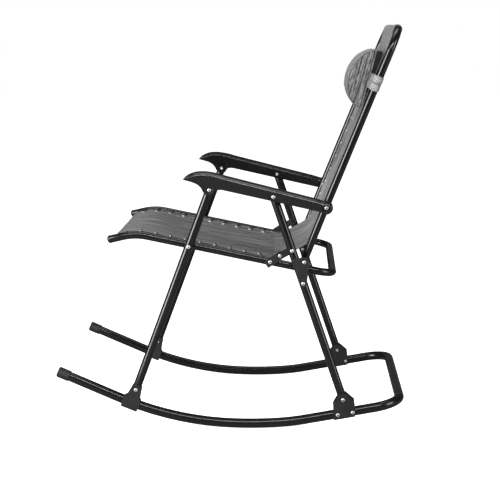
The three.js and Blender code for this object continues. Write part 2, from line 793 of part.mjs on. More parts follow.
sides.forEach(([name, side]) => {
  add(`rocker_cap_${name}`, rockerCap(side), rubber);
  add(`rear_bracket_${name}`, rearBracket(side), paint);
  bracketRivets.forEach((place, i) => {
    add(`bracket_${i ? "rear" : "front"}_rivet_${name}`, rivet(place, side, plateInner, plateOuter), zinc);
  });
  add(`bracket_pivot_rivet_${name}`, rivet(bracketPivot, side, plateInner, plateOuter), zinc);
  add(`rear_leg_${name}`, leg(side, rearArmPivot, bracketPivot, [linkPivot, platePivot]), paint);
  add(`rear_arm_rivet_${name}`, rivet(rearArmPivot, side, armInner, armOuter, { tail: 1.4 }), zinc);
  add(`link_pivot_rivet_${name}`, rivet(linkPivot, side, barInner, legPlane + legRadius, { tail: 1.4 }), zinc);
  add(`plate_pivot_rivet_${name}`, rivet(platePivot, side, legPlane - legRadius, backPlateOuter), zinc);
  add(`armrest_${name}`, armrest(side), plastic);
  add(`front_arm_rivet_${name}`, rivet(frontArmPivot, side, armInner, armOuter, { tail: 1.4 }), zinc);
  add(`back_pivot_rivet_${name}`, rivet(backPivot, side, framePlane - frameRadius, armOuter), zinc);
  add(`front_leg_${name}`, leg(side, frontArmPivot, clipPivot, [seatPivot]), paint);
  const spacer = [framePlane + frameRadius + gap, legPlane - legRadius - gap, 6];
  const seatRivet = rivet(seatPivot, side, framePlane - frameRadius, legPlane + legRadius, { shoulders: [spacer] });
  add(`seat_pivot_rivet_${name}`, seatRivet, zinc);
  add(`front_clip_${name}`, frontClip(side), paint);
  add(`clip_rivet_${name}`, rivet(clipPivot, side, plateInner, plateOuter), zinc);
  add(`seat_cap_${name}`, seatCap(side), plastic);
  add(`seat_lacing_${name}`, lacing(seatSlingLine(), side), bungee);
  add(`link_lug_${name}`, linkLug(side), paint);
  add(`link_bar_${name}`, linkBar(side), paint);
  add(`lug_pivot_rivet_${name}`, rivet(lugPivot, side, lugInner, lugOuter, { tail: 0 }), zinc);
  add(`link_joint_rivet_${name}`, rivet(linkJoint, side, lugInner, barOuter, { tail: 0, head: 1.4 }), zinc);
  add(`back_plate_${name}`, backPlate(side), paint);
  const post = [framePlane + frameRadius + 2 * gap, backPlateInner - gap, 6.5];
  const postRivet = rivet(plateTopPivot, side, post[0], backPlateOuter, { shoulders: [post], tail: 0 });
  add(`plate_top_rivet_${name}`, postRivet, zinc);
  const backLine = [slingBackStart + 6, backLength - 84].map((along) => backPlace(along, 0));
  add(`back_lacing_${name}`, lacing(backLine, side), bungee);
  add(`headrest_strap_${name}`, headrestStrap(side), elastic);
});

export default chair;
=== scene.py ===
import json
import math

import bmesh
import bpy
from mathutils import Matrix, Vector, noise

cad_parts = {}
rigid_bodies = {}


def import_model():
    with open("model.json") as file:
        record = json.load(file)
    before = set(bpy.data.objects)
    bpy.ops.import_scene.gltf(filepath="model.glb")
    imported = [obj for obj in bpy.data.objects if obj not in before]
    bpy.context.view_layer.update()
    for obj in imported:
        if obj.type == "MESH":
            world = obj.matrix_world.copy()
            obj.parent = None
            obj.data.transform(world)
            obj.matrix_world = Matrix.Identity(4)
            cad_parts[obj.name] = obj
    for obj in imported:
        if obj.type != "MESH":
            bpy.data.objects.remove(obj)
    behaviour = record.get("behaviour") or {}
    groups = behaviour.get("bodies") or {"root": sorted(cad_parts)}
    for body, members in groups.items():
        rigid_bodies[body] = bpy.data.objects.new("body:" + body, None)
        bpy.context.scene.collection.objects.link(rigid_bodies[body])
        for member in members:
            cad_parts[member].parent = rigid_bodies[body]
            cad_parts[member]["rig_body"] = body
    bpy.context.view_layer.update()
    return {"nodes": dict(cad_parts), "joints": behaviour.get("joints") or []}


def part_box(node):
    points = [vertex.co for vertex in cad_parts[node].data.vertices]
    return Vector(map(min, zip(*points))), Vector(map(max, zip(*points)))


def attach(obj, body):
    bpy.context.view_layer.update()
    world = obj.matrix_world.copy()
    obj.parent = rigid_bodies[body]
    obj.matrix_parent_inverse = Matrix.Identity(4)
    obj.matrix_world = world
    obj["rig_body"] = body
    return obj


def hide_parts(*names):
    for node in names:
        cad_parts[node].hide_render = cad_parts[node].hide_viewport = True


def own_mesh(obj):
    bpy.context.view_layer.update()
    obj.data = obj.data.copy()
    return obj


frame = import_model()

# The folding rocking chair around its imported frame. Lengths are in metres; side-view points are
# (x, z) pairs, the sitter faces -X, and the sitter's left is -Y.
MM = 0.001
SIDES = (("left", -1), ("right", 1))

# ---- sizes that the imported frame also has ----
RAIL_RADIUS = 12.5 * MM
LEG_RADIUS = 11 * MM
FRAME_RADIUS = 10 * MM
WALL = 1.2 * MM
LEG_PLANE = 290 * MM
FRAME_PLANE = 261 * MM
SEAT_LIFT = 6 * MM
SEAT_FRONT_LIFT = 2 * MM
SLING_EDGE = 236 * MM
SLEEVE_EDGE = 192 * MM
GAP = 0.3 * MM

JOINTS = {joint["name"]: joint for joint in frame["joints"]}


def pivot(joint):
    x, _, z = JOINTS[joint]["pos_m"]
    return Vector((x, z))


def middle(node):
    low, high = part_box(node)
    return (low + high) / 2


def side_point(node):
    point = middle(node)
    return Vector((point.x, point.z))


CLIP = pivot("clip_pivot")
SEAT = pivot("seat_pivot")
FRONT_ARM = pivot("front_leg_pivot")
REAR_ARM = pivot("frame_fold")
BACK = pivot("back_pivot")
BRACKET = pivot("base_tilt")
BACK_TOP = Vector((423, 1023)) * MM
PLATE_TOP = side_point("plate_top_rivet_left")


# ---- camera ----
CAMERA_PLACE = (0.173, -3.880, 1.0199)
CAMERA_YAW = -1.958
CAMERA_DOWN = 8.754
CAMERA_LENS = 102.74


def make_camera():
    """The camera turned by CAMERA_YAW from +Y and tipped down by CAMERA_DOWN, both in degrees."""
    yaw = math.radians(CAMERA_YAW)
    down = math.radians(CAMERA_DOWN)
    aim = Vector((math.sin(yaw) * math.cos(down), math.cos(yaw) * math.cos(down), -math.sin(down)))
    data = bpy.data.cameras.new("camera")
    data.lens = CAMERA_LENS
    data.sensor_width = 36
    camera = bpy.data.objects.new("camera", data)
    camera.location = CAMERA_PLACE
    camera.rotation_euler = aim.to_track_quat("-Z", "Y").to_euler()
    bpy.context.scene.collection.objects.link(camera)
    bpy.context.scene.camera = camera


# ---- node trees ----
class Shading:
    """A material whose nodes are added and linked by short calls."""

    def __init__(self, name, roughness, metallic=0.0, **sockets):
        self.made = bpy.data.materials.new(name)
        self.made.use_nodes = True
        self.tree = self.made.node_tree
        self.shader = self.tree.nodes["Principled BSDF"]
        self.shader.inputs["Roughness"].default_value = roughness
        self.shader.inputs["Metallic"].default_value = metallic
        for socket, value in sockets.items():
            self.shader.inputs[socket.replace("_", " ")].default_value = value

    def add(self, kind, inputs=(), **settings):
        node = self.tree.nodes.new(kind)
        for setting, value in settings.items():
            setattr(node, setting, value)
        for socket, value in dict(inputs).items():
            if isinstance(value, bpy.types.NodeSocket):
                self.tree.links.new(value, node.inputs[socket])
            else:
                node.inputs[socket].default_value = value
        return node

    def place(self, scale=(1, 1, 1), source="Object"):
        """Object or UV coordinates in metres, multiplied by a scale along each axis."""
        coordinates = self.add("ShaderNodeTexCoord").outputs[source]
        return self.add("ShaderNodeMapping", {"Vector": coordinates, "Scale": scale}).outputs[0]

    def noise(self, scale, detail=3.0, stretch=(1, 1, 1), source="Object", roughness=0.5):
        inputs = {"Vector": self.place(stretch, source), "Scale": scale}
        inputs |= {"Detail": detail, "Roughness": roughness}
        return self.add("ShaderNodeTexNoise", inputs).outputs["Fac"]

    def math(self, operation, first, second=0.0):
        return self.add("ShaderNodeMath", {0: first, 1: second}, operation=operation).outputs[0]

    def uv(self):
        """UV coordinates in metres, taken apart."""
        return self.add("ShaderNodeSeparateXYZ", {"Vector": self.place(source="UV")}).outputs

    def wave(self, value, pitch):
        """A sine with one turn in each pitch."""
        return self.math("SINE", self.math("MULTIPLY", value, 2 * math.pi / pitch))

    def weighted(self, *parts):
        """The sum of (value, weight) pairs."""
        total = None
        for value, weight in parts:
            part = self.math("MULTIPLY", value, weight)
            total = self.math("ADD", total, part) if total else part
        return total

    def shaded(self, color, shade):
        """A colour multiplied by a number."""
        grey = self.add("ShaderNodeCombineColor", {0: shade, 1: shade, 2: shade}).outputs[0]
        return self.mix(1.0, color, grey, "MULTIPLY")

    def ramp(self, value, low, high, start=0.3, end=0.7):
        """Colour from low to high as value goes from start to end."""
        node = self.add("ShaderNodeValToRGB", {"Fac": value})
        node.color_ramp.elements[0].position = start
        node.color_ramp.elements[1].position = end
        node.color_ramp.elements[0].color = (*low, 1)
        node.color_ramp.elements[1].color = (*high, 1)
        return node.outputs["Color"]

    def spread(self, value, low, high, start=0.3, end=0.7):
        """A number from low to high as value goes from start to end."""
        inputs = {"Value": value, "From Min": start, "From Max": end, "To Min": low, "To Max": high}
        return self.add("ShaderNodeMapRange", inputs).outputs[0]

    def mix(self, share, first, second, blend="MIX"):
        node = self.add("ShaderNodeMix", {"Factor": share}, data_type="RGBA", blend_type=blend)
        for index, value in ((6, first), (7, second)):
            if isinstance(value, bpy.types.NodeSocket):
                self.tree.links.new(value, node.inputs[index])
            else:
                node.inputs[index].default_value = (*value, 1)
        return node.outputs[2]

    def finish(self, color=None, roughness=None, bumps=()):
        """Links colour and roughness, and chains bumps, each (height, distance in metres, strength)."""
        for value, socket in ((color, "Base Color"), (roughness, "Roughness")):
            if isinstance(value, bpy.types.NodeSocket):
                self.tree.links.new(value, self.shader.inputs[socket])
            elif value is not None:
                self.shader.inputs[socket].default_value = (*value, 1)
        normal = None
        for height, distance, strength in bumps:
            inputs = {"Height": height, "Distance": distance, "Strength": strength}
            if normal:
                inputs["Normal"] = normal
            normal = self.add("ShaderNodeBump", inputs).outputs[0]
        if normal:
            self.tree.links.new(normal, self.shader.inputs["Normal"])
        return self.made


# ---- materials ----
def powder_coat():
    """Semi-gloss black powder coat with a fine orange peel and faint handling marks."""
    paint = Shading("powder_coat", 0.2, Specular_IOR_Level=0.5)
    cloud = paint.noise(9, 4)
    rub = paint.noise(160, 5, stretch=(1, 1, 0.25), roughness=0.7)
    color = paint.ramp(cloud, (0.0025, 0.0025, 0.0027), (0.005, 0.005, 0.0053))
    color = paint.mix(paint.spread(rub, 0, 0.35, 0.62, 0.8), color, (0.013, 0.013, 0.0135))
    roughness = paint.spread(paint.noise(35, 4), 0.17, 0.27)
    peel = paint.noise(900, 2)
    return paint.finish(color, roughness, [(peel, 0.00018, 0.16)])


def textured_coat():
    """The grainy black coat of the pressed brackets and plates."""
    coat = Shading("textured_coat", 0.5, Specular_IOR_Level=0.5)
    grain = coat.noise(1150, 3, roughness=0.65)
    cloud = coat.noise(40, 3)
    color = coat.ramp(grain, (0.003, 0.003, 0.0032), (0.012, 0.012, 0.0125), 0.35, 0.75)
    roughness = coat.spread(cloud, 0.42, 0.6)
    return coat.finish(color, roughness, [(grain, 0.0006, 0.5)])


def zinc(name, low, high, roughness):
    """Bright zinc plate with fine turning marks and a little dulling."""
    plate = Shading(name, roughness, metallic=1.0)
    dull = plate.noise(420, 4, roughness=0.7)
    scratch = plate.noise(2200, 2, stretch=(1, 0.15, 1))
    color = plate.ramp(dull, low, high, 0.3, 0.65)
    rough = plate.spread(dull, roughness + 0.12, roughness - 0.06)
    return plate.finish(color, rough, [(scratch, 0.0002, 0.12)])


def moulded_plastic():
    """Satin black moulded plastic with a fine spark texture and faint lighter streaks."""
    plastic = Shading("moulded_plastic", 0.26, Specular_IOR_Level=0.5)
    spark = plastic.noise(1500, 2)
    cloud = plastic.noise(14, 4, roughness=0.6)
    hair = plastic.noise(260, 3, stretch=(0.12, 1, 1), roughness=0.6)
    color = plastic.ramp(cloud, (0.0028, 0.0028, 0.003), (0.006, 0.006, 0.0063))
    color = plastic.mix(plastic.spread(hair, 0, 0.3, 0.66, 0.82), color, (0.015, 0.015, 0.0155))
    roughness = plastic.spread(cloud, 0.2, 0.32)
    return plastic.finish(color, roughness, [(spark, 0.00025, 0.3)])


def rubber():
    cap = Shading("cap_rubber", 0.55, Specular_IOR_Level=0.45)
    dust = cap.noise(190, 5, roughness=0.7)
    color = cap.ramp(dust, (0.004, 0.004, 0.004), (0.022, 0.0215, 0.021), 0.45, 0.85)
    return cap.finish(color, cap.spread(dust, 0.5, 0.72), [(cap.noise(1300, 2), 0.0002, 0.25)])


def textilene(name, dark, light, shade_to_light=None):
    """Open PVC-coated yarn weave: a basket weave with melange streaks along the sheet. UV is in metres.

    The last argument, if given, is (dark, light, start, end): painted light, where the sheet's shaded tones
    blend into lit tones between two lengths along it, on the same yarns."""
    cloth = Shading(name, 0.62, Specular_IOR_Level=0.35, Sheen_Weight=0.12, Sheen_Roughness=0.5)
    pitch = 2.2 * MM
    uv = cloth.uv()
    weave = cloth.math("MULTIPLY", cloth.wave(uv["X"], pitch), cloth.wave(uv["Y"], pitch))
    rib = cloth.math("ABSOLUTE", cloth.wave(uv["X"], 2 * pitch))
    warp = cloth.noise(1.0, 2, stretch=(520, 22, 1), source="UV", roughness=0.6)
    slub = cloth.noise(1.0, 3, stretch=(230, 38, 1), source="UV", roughness=0.7)
    weft = cloth.noise(1.0, 2, stretch=(26, 480, 1), source="UV")
    broad = cloth.noise(1.0, 2, stretch=(58, 7.5, 1), source="UV", roughness=0.65)
    blend = cloth.weighted((warp, 0.24), (slub, 0.2), (weft, 0.06), (broad, 0.5))
    color = cloth.ramp(blend, dark, light, 0.43, 0.58)
    # Painted light: the same cloth turns from its shaded tones to lit tones along the sheet.
    if shade_to_light:
        turned_to = cloth.ramp(blend, shade_to_light[0], shade_to_light[1], 0.43, 0.58)
        color = cloth.mix(cloth.spread(uv["Y"], 0, 1, shade_to_light[2], shade_to_light[3]), color, turned_to)
    # Painted shade: darker in the weave's hollows, where the weave bump is low.
    color = cloth.shaded(color, cloth.spread(weave, 0.72, 1.0, -0.7, 0.4))
    return cloth.finish(color, cloth.spread(blend, 0.7, 0.55), [(weave, 0.0004, 0.55), (rib, 0.0003, 0.3)])


def webbing(name, dark, light, pitch=1.6 * MM, loose=0.0):
    """Woven binding or elastic, ribbed across its length. UV is in metres, X along the band.

    If loose is more than 0, the band is darker over that length, painted shade for the loose part that faces
    away from the light, and a dark line along its middle is painted shade in the groove between the two
    bands."""
    band = Shading(name, 0.75, Specular_IOR_Level=0.3, Sheen_Weight=0.2)
    uv = band.uv()
    rung = band.math("MULTIPLY", band.wave(uv["X"], 1.3 * pitch), 0.6)
    weave = band.math("ADD", band.wave(uv["Y"], pitch), rung)
    fleck = band.noise(1.0, 3, stretch=(420, 160, 1), source="UV", roughness=0.7)
    color = band.ramp(fleck, dark, light)
    # Painted shade: darker in the weave's hollows, where the weave bump is low.
    color = band.mix(band.spread(weave, 0.0, 0.35, 1.2, -1.4), color, dark)
    if loose:
        # Painted shade: a dark line in the middle groove, and a darker loose part.
        groove = band.spread(band.math("ABSOLUTE", uv["Y"]), 0.9, 0.0, 1.2 * MM, 3.2 * MM)
        loose_part_shade = band.spread(uv["X"], 0.7, 0.0, loose - 12 * MM, loose)
        color = band.mix(band.math("MAXIMUM", groove, loose_part_shade), color, dark)
    return band.finish(color, None, [(weave, 0.0005, 0.6)])


def pillow_cloth():
    """Ribbed woven cover: streaks and cords run down the pillow's face. UV is in metres, Y down the face."""
    cloth = Shading("pillow_cloth", 0.78, Specular_IOR_Level=0.25, Sheen_Weight=0.25, Sheen_Roughness=0.5)
    uv = cloth.uv()
    cord_pitch = 2.4 * MM
    rib = cloth.wave(uv["X"], cord_pitch)
    thread = cloth.wave(uv["Y"], 0.6 * cord_pitch)
    warp = cloth.noise(1.0, 3, stretch=(430, 30, 1), source="UV", roughness=0.65)
    slub = cloth.noise(1.0, 3, stretch=(170, 24, 1), source="UV", roughness=0.7)
    cloud = cloth.noise(1.0, 2, stretch=(14, 14, 1), source="UV")
    blend = cloth.weighted((warp, 0.45), (slub, 0.4), (cloud, 0.15))
    color = cloth.ramp(blend, (0.05, 0.05, 0.051), (0.2, 0.2, 0.203), 0.4, 0.6)
    # Painted shade: darker in the valleys between the ribs, where the rib bump is low.
    ridge = cloth.math("ADD", rib, cloth.math("MULTIPLY", thread, 0.4))
    color = cloth.shaded(color, cloth.spread(ridge, 0.72, 1.0, -1.2, 0.6))
    return cloth.finish(color, None, [(rib, 0.0005, 0.5), (thread, 0.0003, 0.3)])


def pillow_end():
    """The pillow's end: streaky cloth with painted shade in its folds, and plain black near the flat back,
    which is painted shade for the shadow between the pillow and the sling. UV is (lift, along).
    """
    cloth = Shading("pillow_end", 0.8, Specular_IOR_Level=0.25, Sheen_Weight=0.2, Sheen_Roughness=0.5)
    uv = cloth.uv()
    across = cloth.math("SUBTRACT", uv["X"], cloth.math("MULTIPLY", uv["Y"], END_FOLD_AND_SHADE_SLOPE))
    spot = cloth.add("ShaderNodeCombineXYZ", {"X": across, "Y": uv["Y"]}).outputs[0]

    def streak(cross_scale, long_scale, detail):
        scale = (cross_scale, long_scale, 1)
        placed = cloth.add("ShaderNodeMapping", {"Vector": spot, "Scale": scale}).outputs[0]
        inputs = {"Vector": placed, "Scale": 1.0, "Detail": detail, "Roughness": 0.6}
        return cloth.add("ShaderNodeTexNoise", inputs).outputs["Fac"]

    # Painted shade in the folds: the fold streaks also make the bump, and the rib follows the end's folds.
    # The yarn streaks are the cloth's own.
    fold = streak(150, 9, 2)
    yarn = streak(520, 60, 3)
    rib = cloth.math("SINE", cloth.weighted((across, 2 * math.pi / END_RIB), (fold, 9)))
    blend = cloth.weighted((fold, 0.45), (yarn, 0.55), (rib, 0.045))
    grey = cloth.ramp(blend, (0.022, 0.022, 0.0225), (0.25, 0.25, 0.253), 0.42, 0.6)
    # Painted shade: plain black below a slanting line near the flat back, for the shadow between the pillow,
    # the sling and the tube.
    seam = cloth.spread(across, 0, 1, END_SHADE_LIFT - 0.5 * MM, END_SHADE_LIFT + 0.7 * MM)
    color = cloth.mix(seam, (0.004, 0.004, 0.004), grey)
    return cloth.finish(color, None, [(fold, 0.002, 0.4), (yarn, 0.0006, 0.5)])


def flat_back_shade():
    """Plain black on the pillow's flat back: painted shade, standing for the shadow between the pillow and
    the sling.
    """
    cloth = Shading("pillow_flat_back_painted_shade", 0.8, Specular_IOR_Level=0.25)
    weave = cloth.noise(900, 2)
    color = cloth.ramp(weave, (0.008, 0.008, 0.008), (0.022, 0.022, 0.022))
    return cloth.finish(color, None, [(weave, 0.0005, 0.5)])


def bungee():
    """Braided black elastic cord."""
    cord = Shading("bungee", 0.7, Specular_IOR_Level=0.3)
    braid = cord.noise(1400, 2)
    color = cord.ramp(braid, (0.008, 0.008, 0.008), (0.04, 0.04, 0.041))
    return cord.finish(color, None, [(braid, 0.0006, 0.6)])


def floor_paint():
    ground = Shading("floor", 0.85, Emission_Color=(1, 1, 1, 1))
    cloud = ground.noise(2.5, 3)
    seen = ground.add("ShaderNodeLightPath").outputs["Is Camera Ray"]
    ground.tree.links.new(ground.spread(seen, 0, 1.1, 0, 1), ground.shader.inputs["Emission Strength"])
    white = ground.ramp(cloud, (0.9, 0.9, 0.9), (0.93, 0.93, 0.93))
    return ground.finish(ground.mix(seen, (0.28, 0.28, 0.28), white))


PAINT = powder_coat()
GRAIN_COAT = textured_coat()
RIVET = zinc("rivet_zinc", (0.7, 0.7, 0.69), (0.95, 0.95, 0.93), 0.4)
EYELET = zinc("eyelet_zinc", (0.62, 0.62, 0.61), (0.92, 0.92, 0.9), 0.5)
# Painted shade: a dark zinc for the hollow pit in each rivet head.
RIVET_PIT_SHADE = zinc("rivet_pit_painted_shade", (0.05, 0.05, 0.05), (0.12, 0.12, 0.12), 0.5)
PLASTIC = moulded_plastic()
RUBBER = rubber()
# Painted light and shade: seat and back are one cloth. The seat's tones are darker and the back's lighter
# because of how the light falls on each, and the hip blends from one to the other.
SEAT_SHADED_TONES = ((0.012, 0.012, 0.0125), (0.2, 0.2, 0.203))
SEAT_MESH = textilene("seat_textilene_shaded", *SEAT_SHADED_TONES)
BACK_LIT_TONES = ((0.075, 0.075, 0.077), (0.33, 0.33, 0.335))
BACK_MESH = textilene("back_textilene_lit", *BACK_LIT_TONES)
HIP_MESH = textilene("hip_textilene_shaded_to_lit", *SEAT_SHADED_TONES, shade_to_light=(*BACK_LIT_TONES, 25 * MM, 130 * MM))
ELASTIC = webbing("strap_elastic", (0.11, 0.11, 0.112), (0.58, 0.58, 0.585), loose=118 * MM)
PILLOW = pillow_cloth()
END_FOLD_AND_SHADE_SLOPE = 0.125
END_SHADE_LIFT = 10 * MM
END_RIB = 7 * MM
PILLOW_END = pillow_end()
FLAT_BACK_SHADE = flat_back_shade()
BUNGEE = bungee()


# ---- meshes ----
def show(name, mesh, materials, body, stands_for=(), sharp=35):
    """Makes a mesh a piece that rides on a CAD body."""
    if isinstance(mesh, bmesh.types.BMesh):
        data = bpy.data.meshes.new(name)
        bmesh.ops.recalc_face_normals(mesh, faces=mesh.faces)
        mesh.to_mesh(data)
        mesh.free()
    else:
        data = mesh
    for face in data.polygons:
        face.use_smooth = True
    data.set_sharp_from_angle(angle=math.radians(sharp))
    for material in materials if isinstance(materials, (list, tuple)) else [materials]:
        data.materials.append(material)
    piece = bpy.data.objects.new(name, data)
    bpy.context.scene.collection.objects.link(piece)
    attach(piece, body)
    if stands_for:
        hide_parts(*stands_for)
    return piece


def bridge(mesh, first, second):
    """Quads between two closed rings of vertices."""
    count = len(first)
    faces = []
    for i in range(count):
        k = (i + 1) % count
        faces.append(mesh.faces.new((first[i], first[k], second[k], second[i])))
    return faces


def transported(path):
    """Side vectors along a path, turned as little as possible from point to point."""
    frames = []
    last = len(path) - 1
    across = None
    for i, point in enumerate(path):
        tangent = (path[min(i + 1, last)] - path[max(i - 1, 0)]).normalized()
        if across is None:
            across = tangent.orthogonal().normalized()
        across = (across - tangent * across.dot(tangent)).normalized()
        frames.append((point, across, tangent.cross(across)))
    return frames


def circle(mesh, centre, across, other, radius, sides):
    """A ring of vertices in the plane of two directions."""
    ring = []
    for k in range(sides):
        angle = 2 * math.pi * k / sides
        ring.append(mesh.verts.new(centre + (across * math.cos(angle) + other * math.sin(angle)) * radius))
    return ring


def tube(path, radius, wall=WALL, sides=40, bore=14 * MM):
    """A round tube with rolled rims and a short bore at each end; no bore if wall is 0."""
    mesh = bmesh.new()
    frames = transported(path)
    start_run = (path[1] - path[0]).normalized()
    end_run = (path[-1] - path[-2]).normalized()
    edge = min(0.5 * MM, radius * 0.3)

    def end_rings(frame_, run):
        if not wall:
            return [(frame_, radius - edge, run * 0.0), (frame_, radius * 0.55, run * edge)]
        inside = radius - wall
        rim = (frame_, radius - wall / 2, run * edge * 0.6)
        return [rim, (frame_, inside, run * 0.0), (frame_, inside, run * -bore)]

    rings = [*reversed(end_rings(frames[0], -start_run))]
    rings.append((frames[0], radius - edge * 0.3, Vector()))
    rings.append((frames[0], radius, start_run * edge))
    rings += [(station, radius, Vector()) for station in frames[1:-1]]
    rings.append((frames[-1], radius, end_run * -edge))
    rings.append((frames[-1], radius - edge * 0.3, Vector()))
    rings += end_rings(frames[-1], end_run)
    loops = [
        circle(mesh, point + shift, across, other, size, sides)
        for (point, across, other), size, shift in rings
    ]
    for first, second in zip(loops, loops[1:]):
        bridge(mesh, first, second)
    mesh.faces.new(loops[0])
    mesh.faces.new(loops[-1])
    return mesh


def turned(profile, place, axis, segments=36, pit_below=None):
    """A lathed piece; profile is (radius, height), and height runs along axis.

    Faces from profile row pit_below onwards take the second material."""
    mesh = bmesh.new()
    turn = Vector((0, 0, 1)).rotation_difference(Vector(axis)).to_matrix()
    loops = []
    for radius, height in profile:
        if radius < 1e-7:
            loops.append([mesh.verts.new(turn @ Vector((0, 0, height)) + place)])
            continue
        ring = []
        for k in range(segments):
            angle = 2 * math.pi * k / segments
            spot = Vector((radius * math.cos(angle), radius * math.sin(angle), height))
            ring.append(mesh.verts.new(turn @ spot + place))
        loops.append(ring)
    for row, (first, second) in enumerate(zip(loops, loops[1:])):
        if len(first) == 1 or len(second) == 1:
            point = (first if len(first) == 1 else second)[0]
            ring = second if len(first) == 1 else first
            faces = [mesh.faces.new((ring[k], ring[(k + 1) % segments], point)) for k in range(segments)]
        else:
            faces = bridge(mesh, first, second)
        if pit_below is not None and row >= pit_below:
            for face in faces:
                face.material_index = 1
    return mesh


def in_mm(profile):
    """A profile written in millimetres, in the frame's metres."""
    return [(radius * MM, height * MM) for radius, height in profile]


def bent(corners, step=math.radians(3.5)):
    """Points along straight runs joined by round bends. A corner is (point, bend radius)."""
    points = []
    for i, (corner, radius) in enumerate(corners):
        if not radius:
            points.append(corner.copy())
            continue
        arriving = (corner - corners[i - 1][0]).normalized()
        leaving = (corners[i + 1][0] - corner).normalized()
        turn = arriving.angle(leaving)
        inward = (leaving - arriving * math.cos(turn)).normalized()
        start = corner - arriving * radius * math.tan(turn / 2)
        steps = max(3, math.ceil(turn / step))
        for k in range(steps + 1):
            angle = turn * k / steps
            forward = arriving * radius * math.sin(angle)
            points.append(start + forward + inward * radius * (1 - math.cos(angle)))
    return points


def lengthened(points, spacing=60 * MM):
    """The same line with extra points on its long straight runs."""
    result = [points[0]]
    for first, second in zip(points, points[1:]):
        count = max(1, round((second - first).length / spacing))
        result += [first.lerp(second, k / count) for k in range(1, count + 1)]
    return result


def length_of(line):
    return sum((b - a).length for a, b in zip(line, line[1:]))


def flat_run(start, end):
    return (end - start).normalized()


def in_space(point, y):
    return Vector((point[0], y, point[1]))


# ---- rocker base ----
RAIL_LOWEST_X = 42 * MM
RAIL_MIDDLE_RADIUS = 1113 * MM
RAIL_REST = RAIL_RADIUS * math.cos(math.pi / 12)
RAIL_FRONT = {"flat_turn": 2.3, "bend_radius": 806 * MM, "slope": 23.1}
RAIL_REAR = {"flat_turn": 4.3, "bend_radius": 650 * MM, "slope": 10.5}
RAIL_FRONT_X = -445.28 * MM
RAIL_REAR_X = 440 * MM
RAIL_CORNER = 70 * MM


def rail_half(flat_turn, bend_radius, slope, end_x, sign):
    """Side-view points of one half of a rail, from its lowest point outwards."""
    points = []
    spot = Vector((RAIL_LOWEST_X, RAIL_REST))
    angle = 0.0
    for radius, until in ((RAIL_MIDDLE_RADIUS, math.radians(flat_turn)), (bend_radius, math.radians(slope))):
        steps = max(2, math.ceil(radius * (until - angle) / (22 * MM)))
        start = angle
        for k in range(1, steps + 1):
            turned_to = start + (until - start) * k / steps
            spot = spot + Vector((
                sign * radius * (math.sin(turned_to) - math.sin(angle)),
                radius * (math.cos(angle) - math.cos(turned_to)),
            ))
            angle = turned_to
            points.append(spot)
    points.append(Vector((end_x, spot.y + abs(end_x - spot.x) * math.tan(angle))))
    return points


FRONT_HALF = rail_half(**RAIL_FRONT, end_x=RAIL_FRONT_X, sign=-1)
REAR_HALF = rail_half(**RAIL_REAR, end_x=RAIL_REAR_X, sign=1)
RAIL_LINE = [*reversed(FRONT_HALF), Vector((RAIL_LOWEST_X, RAIL_REST)), *REAR_HALF]


def rocker_base():
    left = [(in_space(point, -LEG_PLANE), 0) for point in RAIL_LINE[:-1]]
    right = [(in_space(point, LEG_PLANE), 0) for point in reversed(RAIL_LINE[:-1])]
    rear = RAIL_LINE[-1]
    corners = [(in_space(rear, -LEG_PLANE), RAIL_CORNER), (in_space(rear, LEG_PLANE), RAIL_CORNER)]
    path = lengthened(bent([*left, *corners, *right]))
    show("rocker_base_tube", tube(path, RAIL_RADIUS), PAINT, "base", ["rocker_base"])


CAP_LENGTH = 33 * MM


def rocker_cap(name, side):
    """A rubber cup with a chamfered end, shallow ribs and a rolled mouth."""
    end = RAIL_LINE[0]
    slope = math.radians(RAIL_FRONT["slope"])
    along = Vector((-math.cos(slope), math.sin(slope)))
    mouth = in_space(end + along * (GAP - (CAP_LENGTH - 3 * MM)), side * LEG_PLANE)
    profile = [(0, 30), (12.8, 30), (12.8, 0.4), (13.1, 0), (14.0, 0), (14.5, 0.5), (14.5, 2.6), (14.1, 3.1)]
    for k in range(5):
        start = 5 + 4.6 * k
        profile += [(14.1, start), (14.45, start + 0.5), (14.45, start + 2.2), (14.1, start + 2.7)]
    profile += [(14.3, 29.4), (12.6, 31.8), (11.2, 32.8), (9.5, 33), (8.6, 32.6), (0, 32.6)]
    mesh = turned(in_mm(profile), mouth, in_space(along, 0), 48)
    show(f"rocker_cap_{name}_rubber", mesh, RUBBER, "base", [f"rocker_cap_{name}"])


# ---- legs ----
LEG_END = 11 * MM


def leg(label, top, bottom, side, body, node):
    run = flat_run(top, bottom)
    ends = [top - run * LEG_END, bottom + run * LEG_END]
    path = lengthened([in_space(point, side * LEG_PLANE) for point in ends])
    show(label, tube(path, LEG_RADIUS), PAINT, body, [node])


# ---- rivets and spacers ----
HEAD = (
    (3.0, 0.0), (4.8, 0.0), (4.85, 0.35), (4.6, 1.0), (3.95, 1.6), (3.1, 2.0), (2.35, 2.15),
    (1.85, 2.05), (1.55, 1.7), (1.35, 1.05), (0.9, 0.8), (0, 0.75),
)
HEAD_HEIGHT = 2.2 * MM
NO_TAIL = ("lug_pivot", "link_joint", "plate_top")


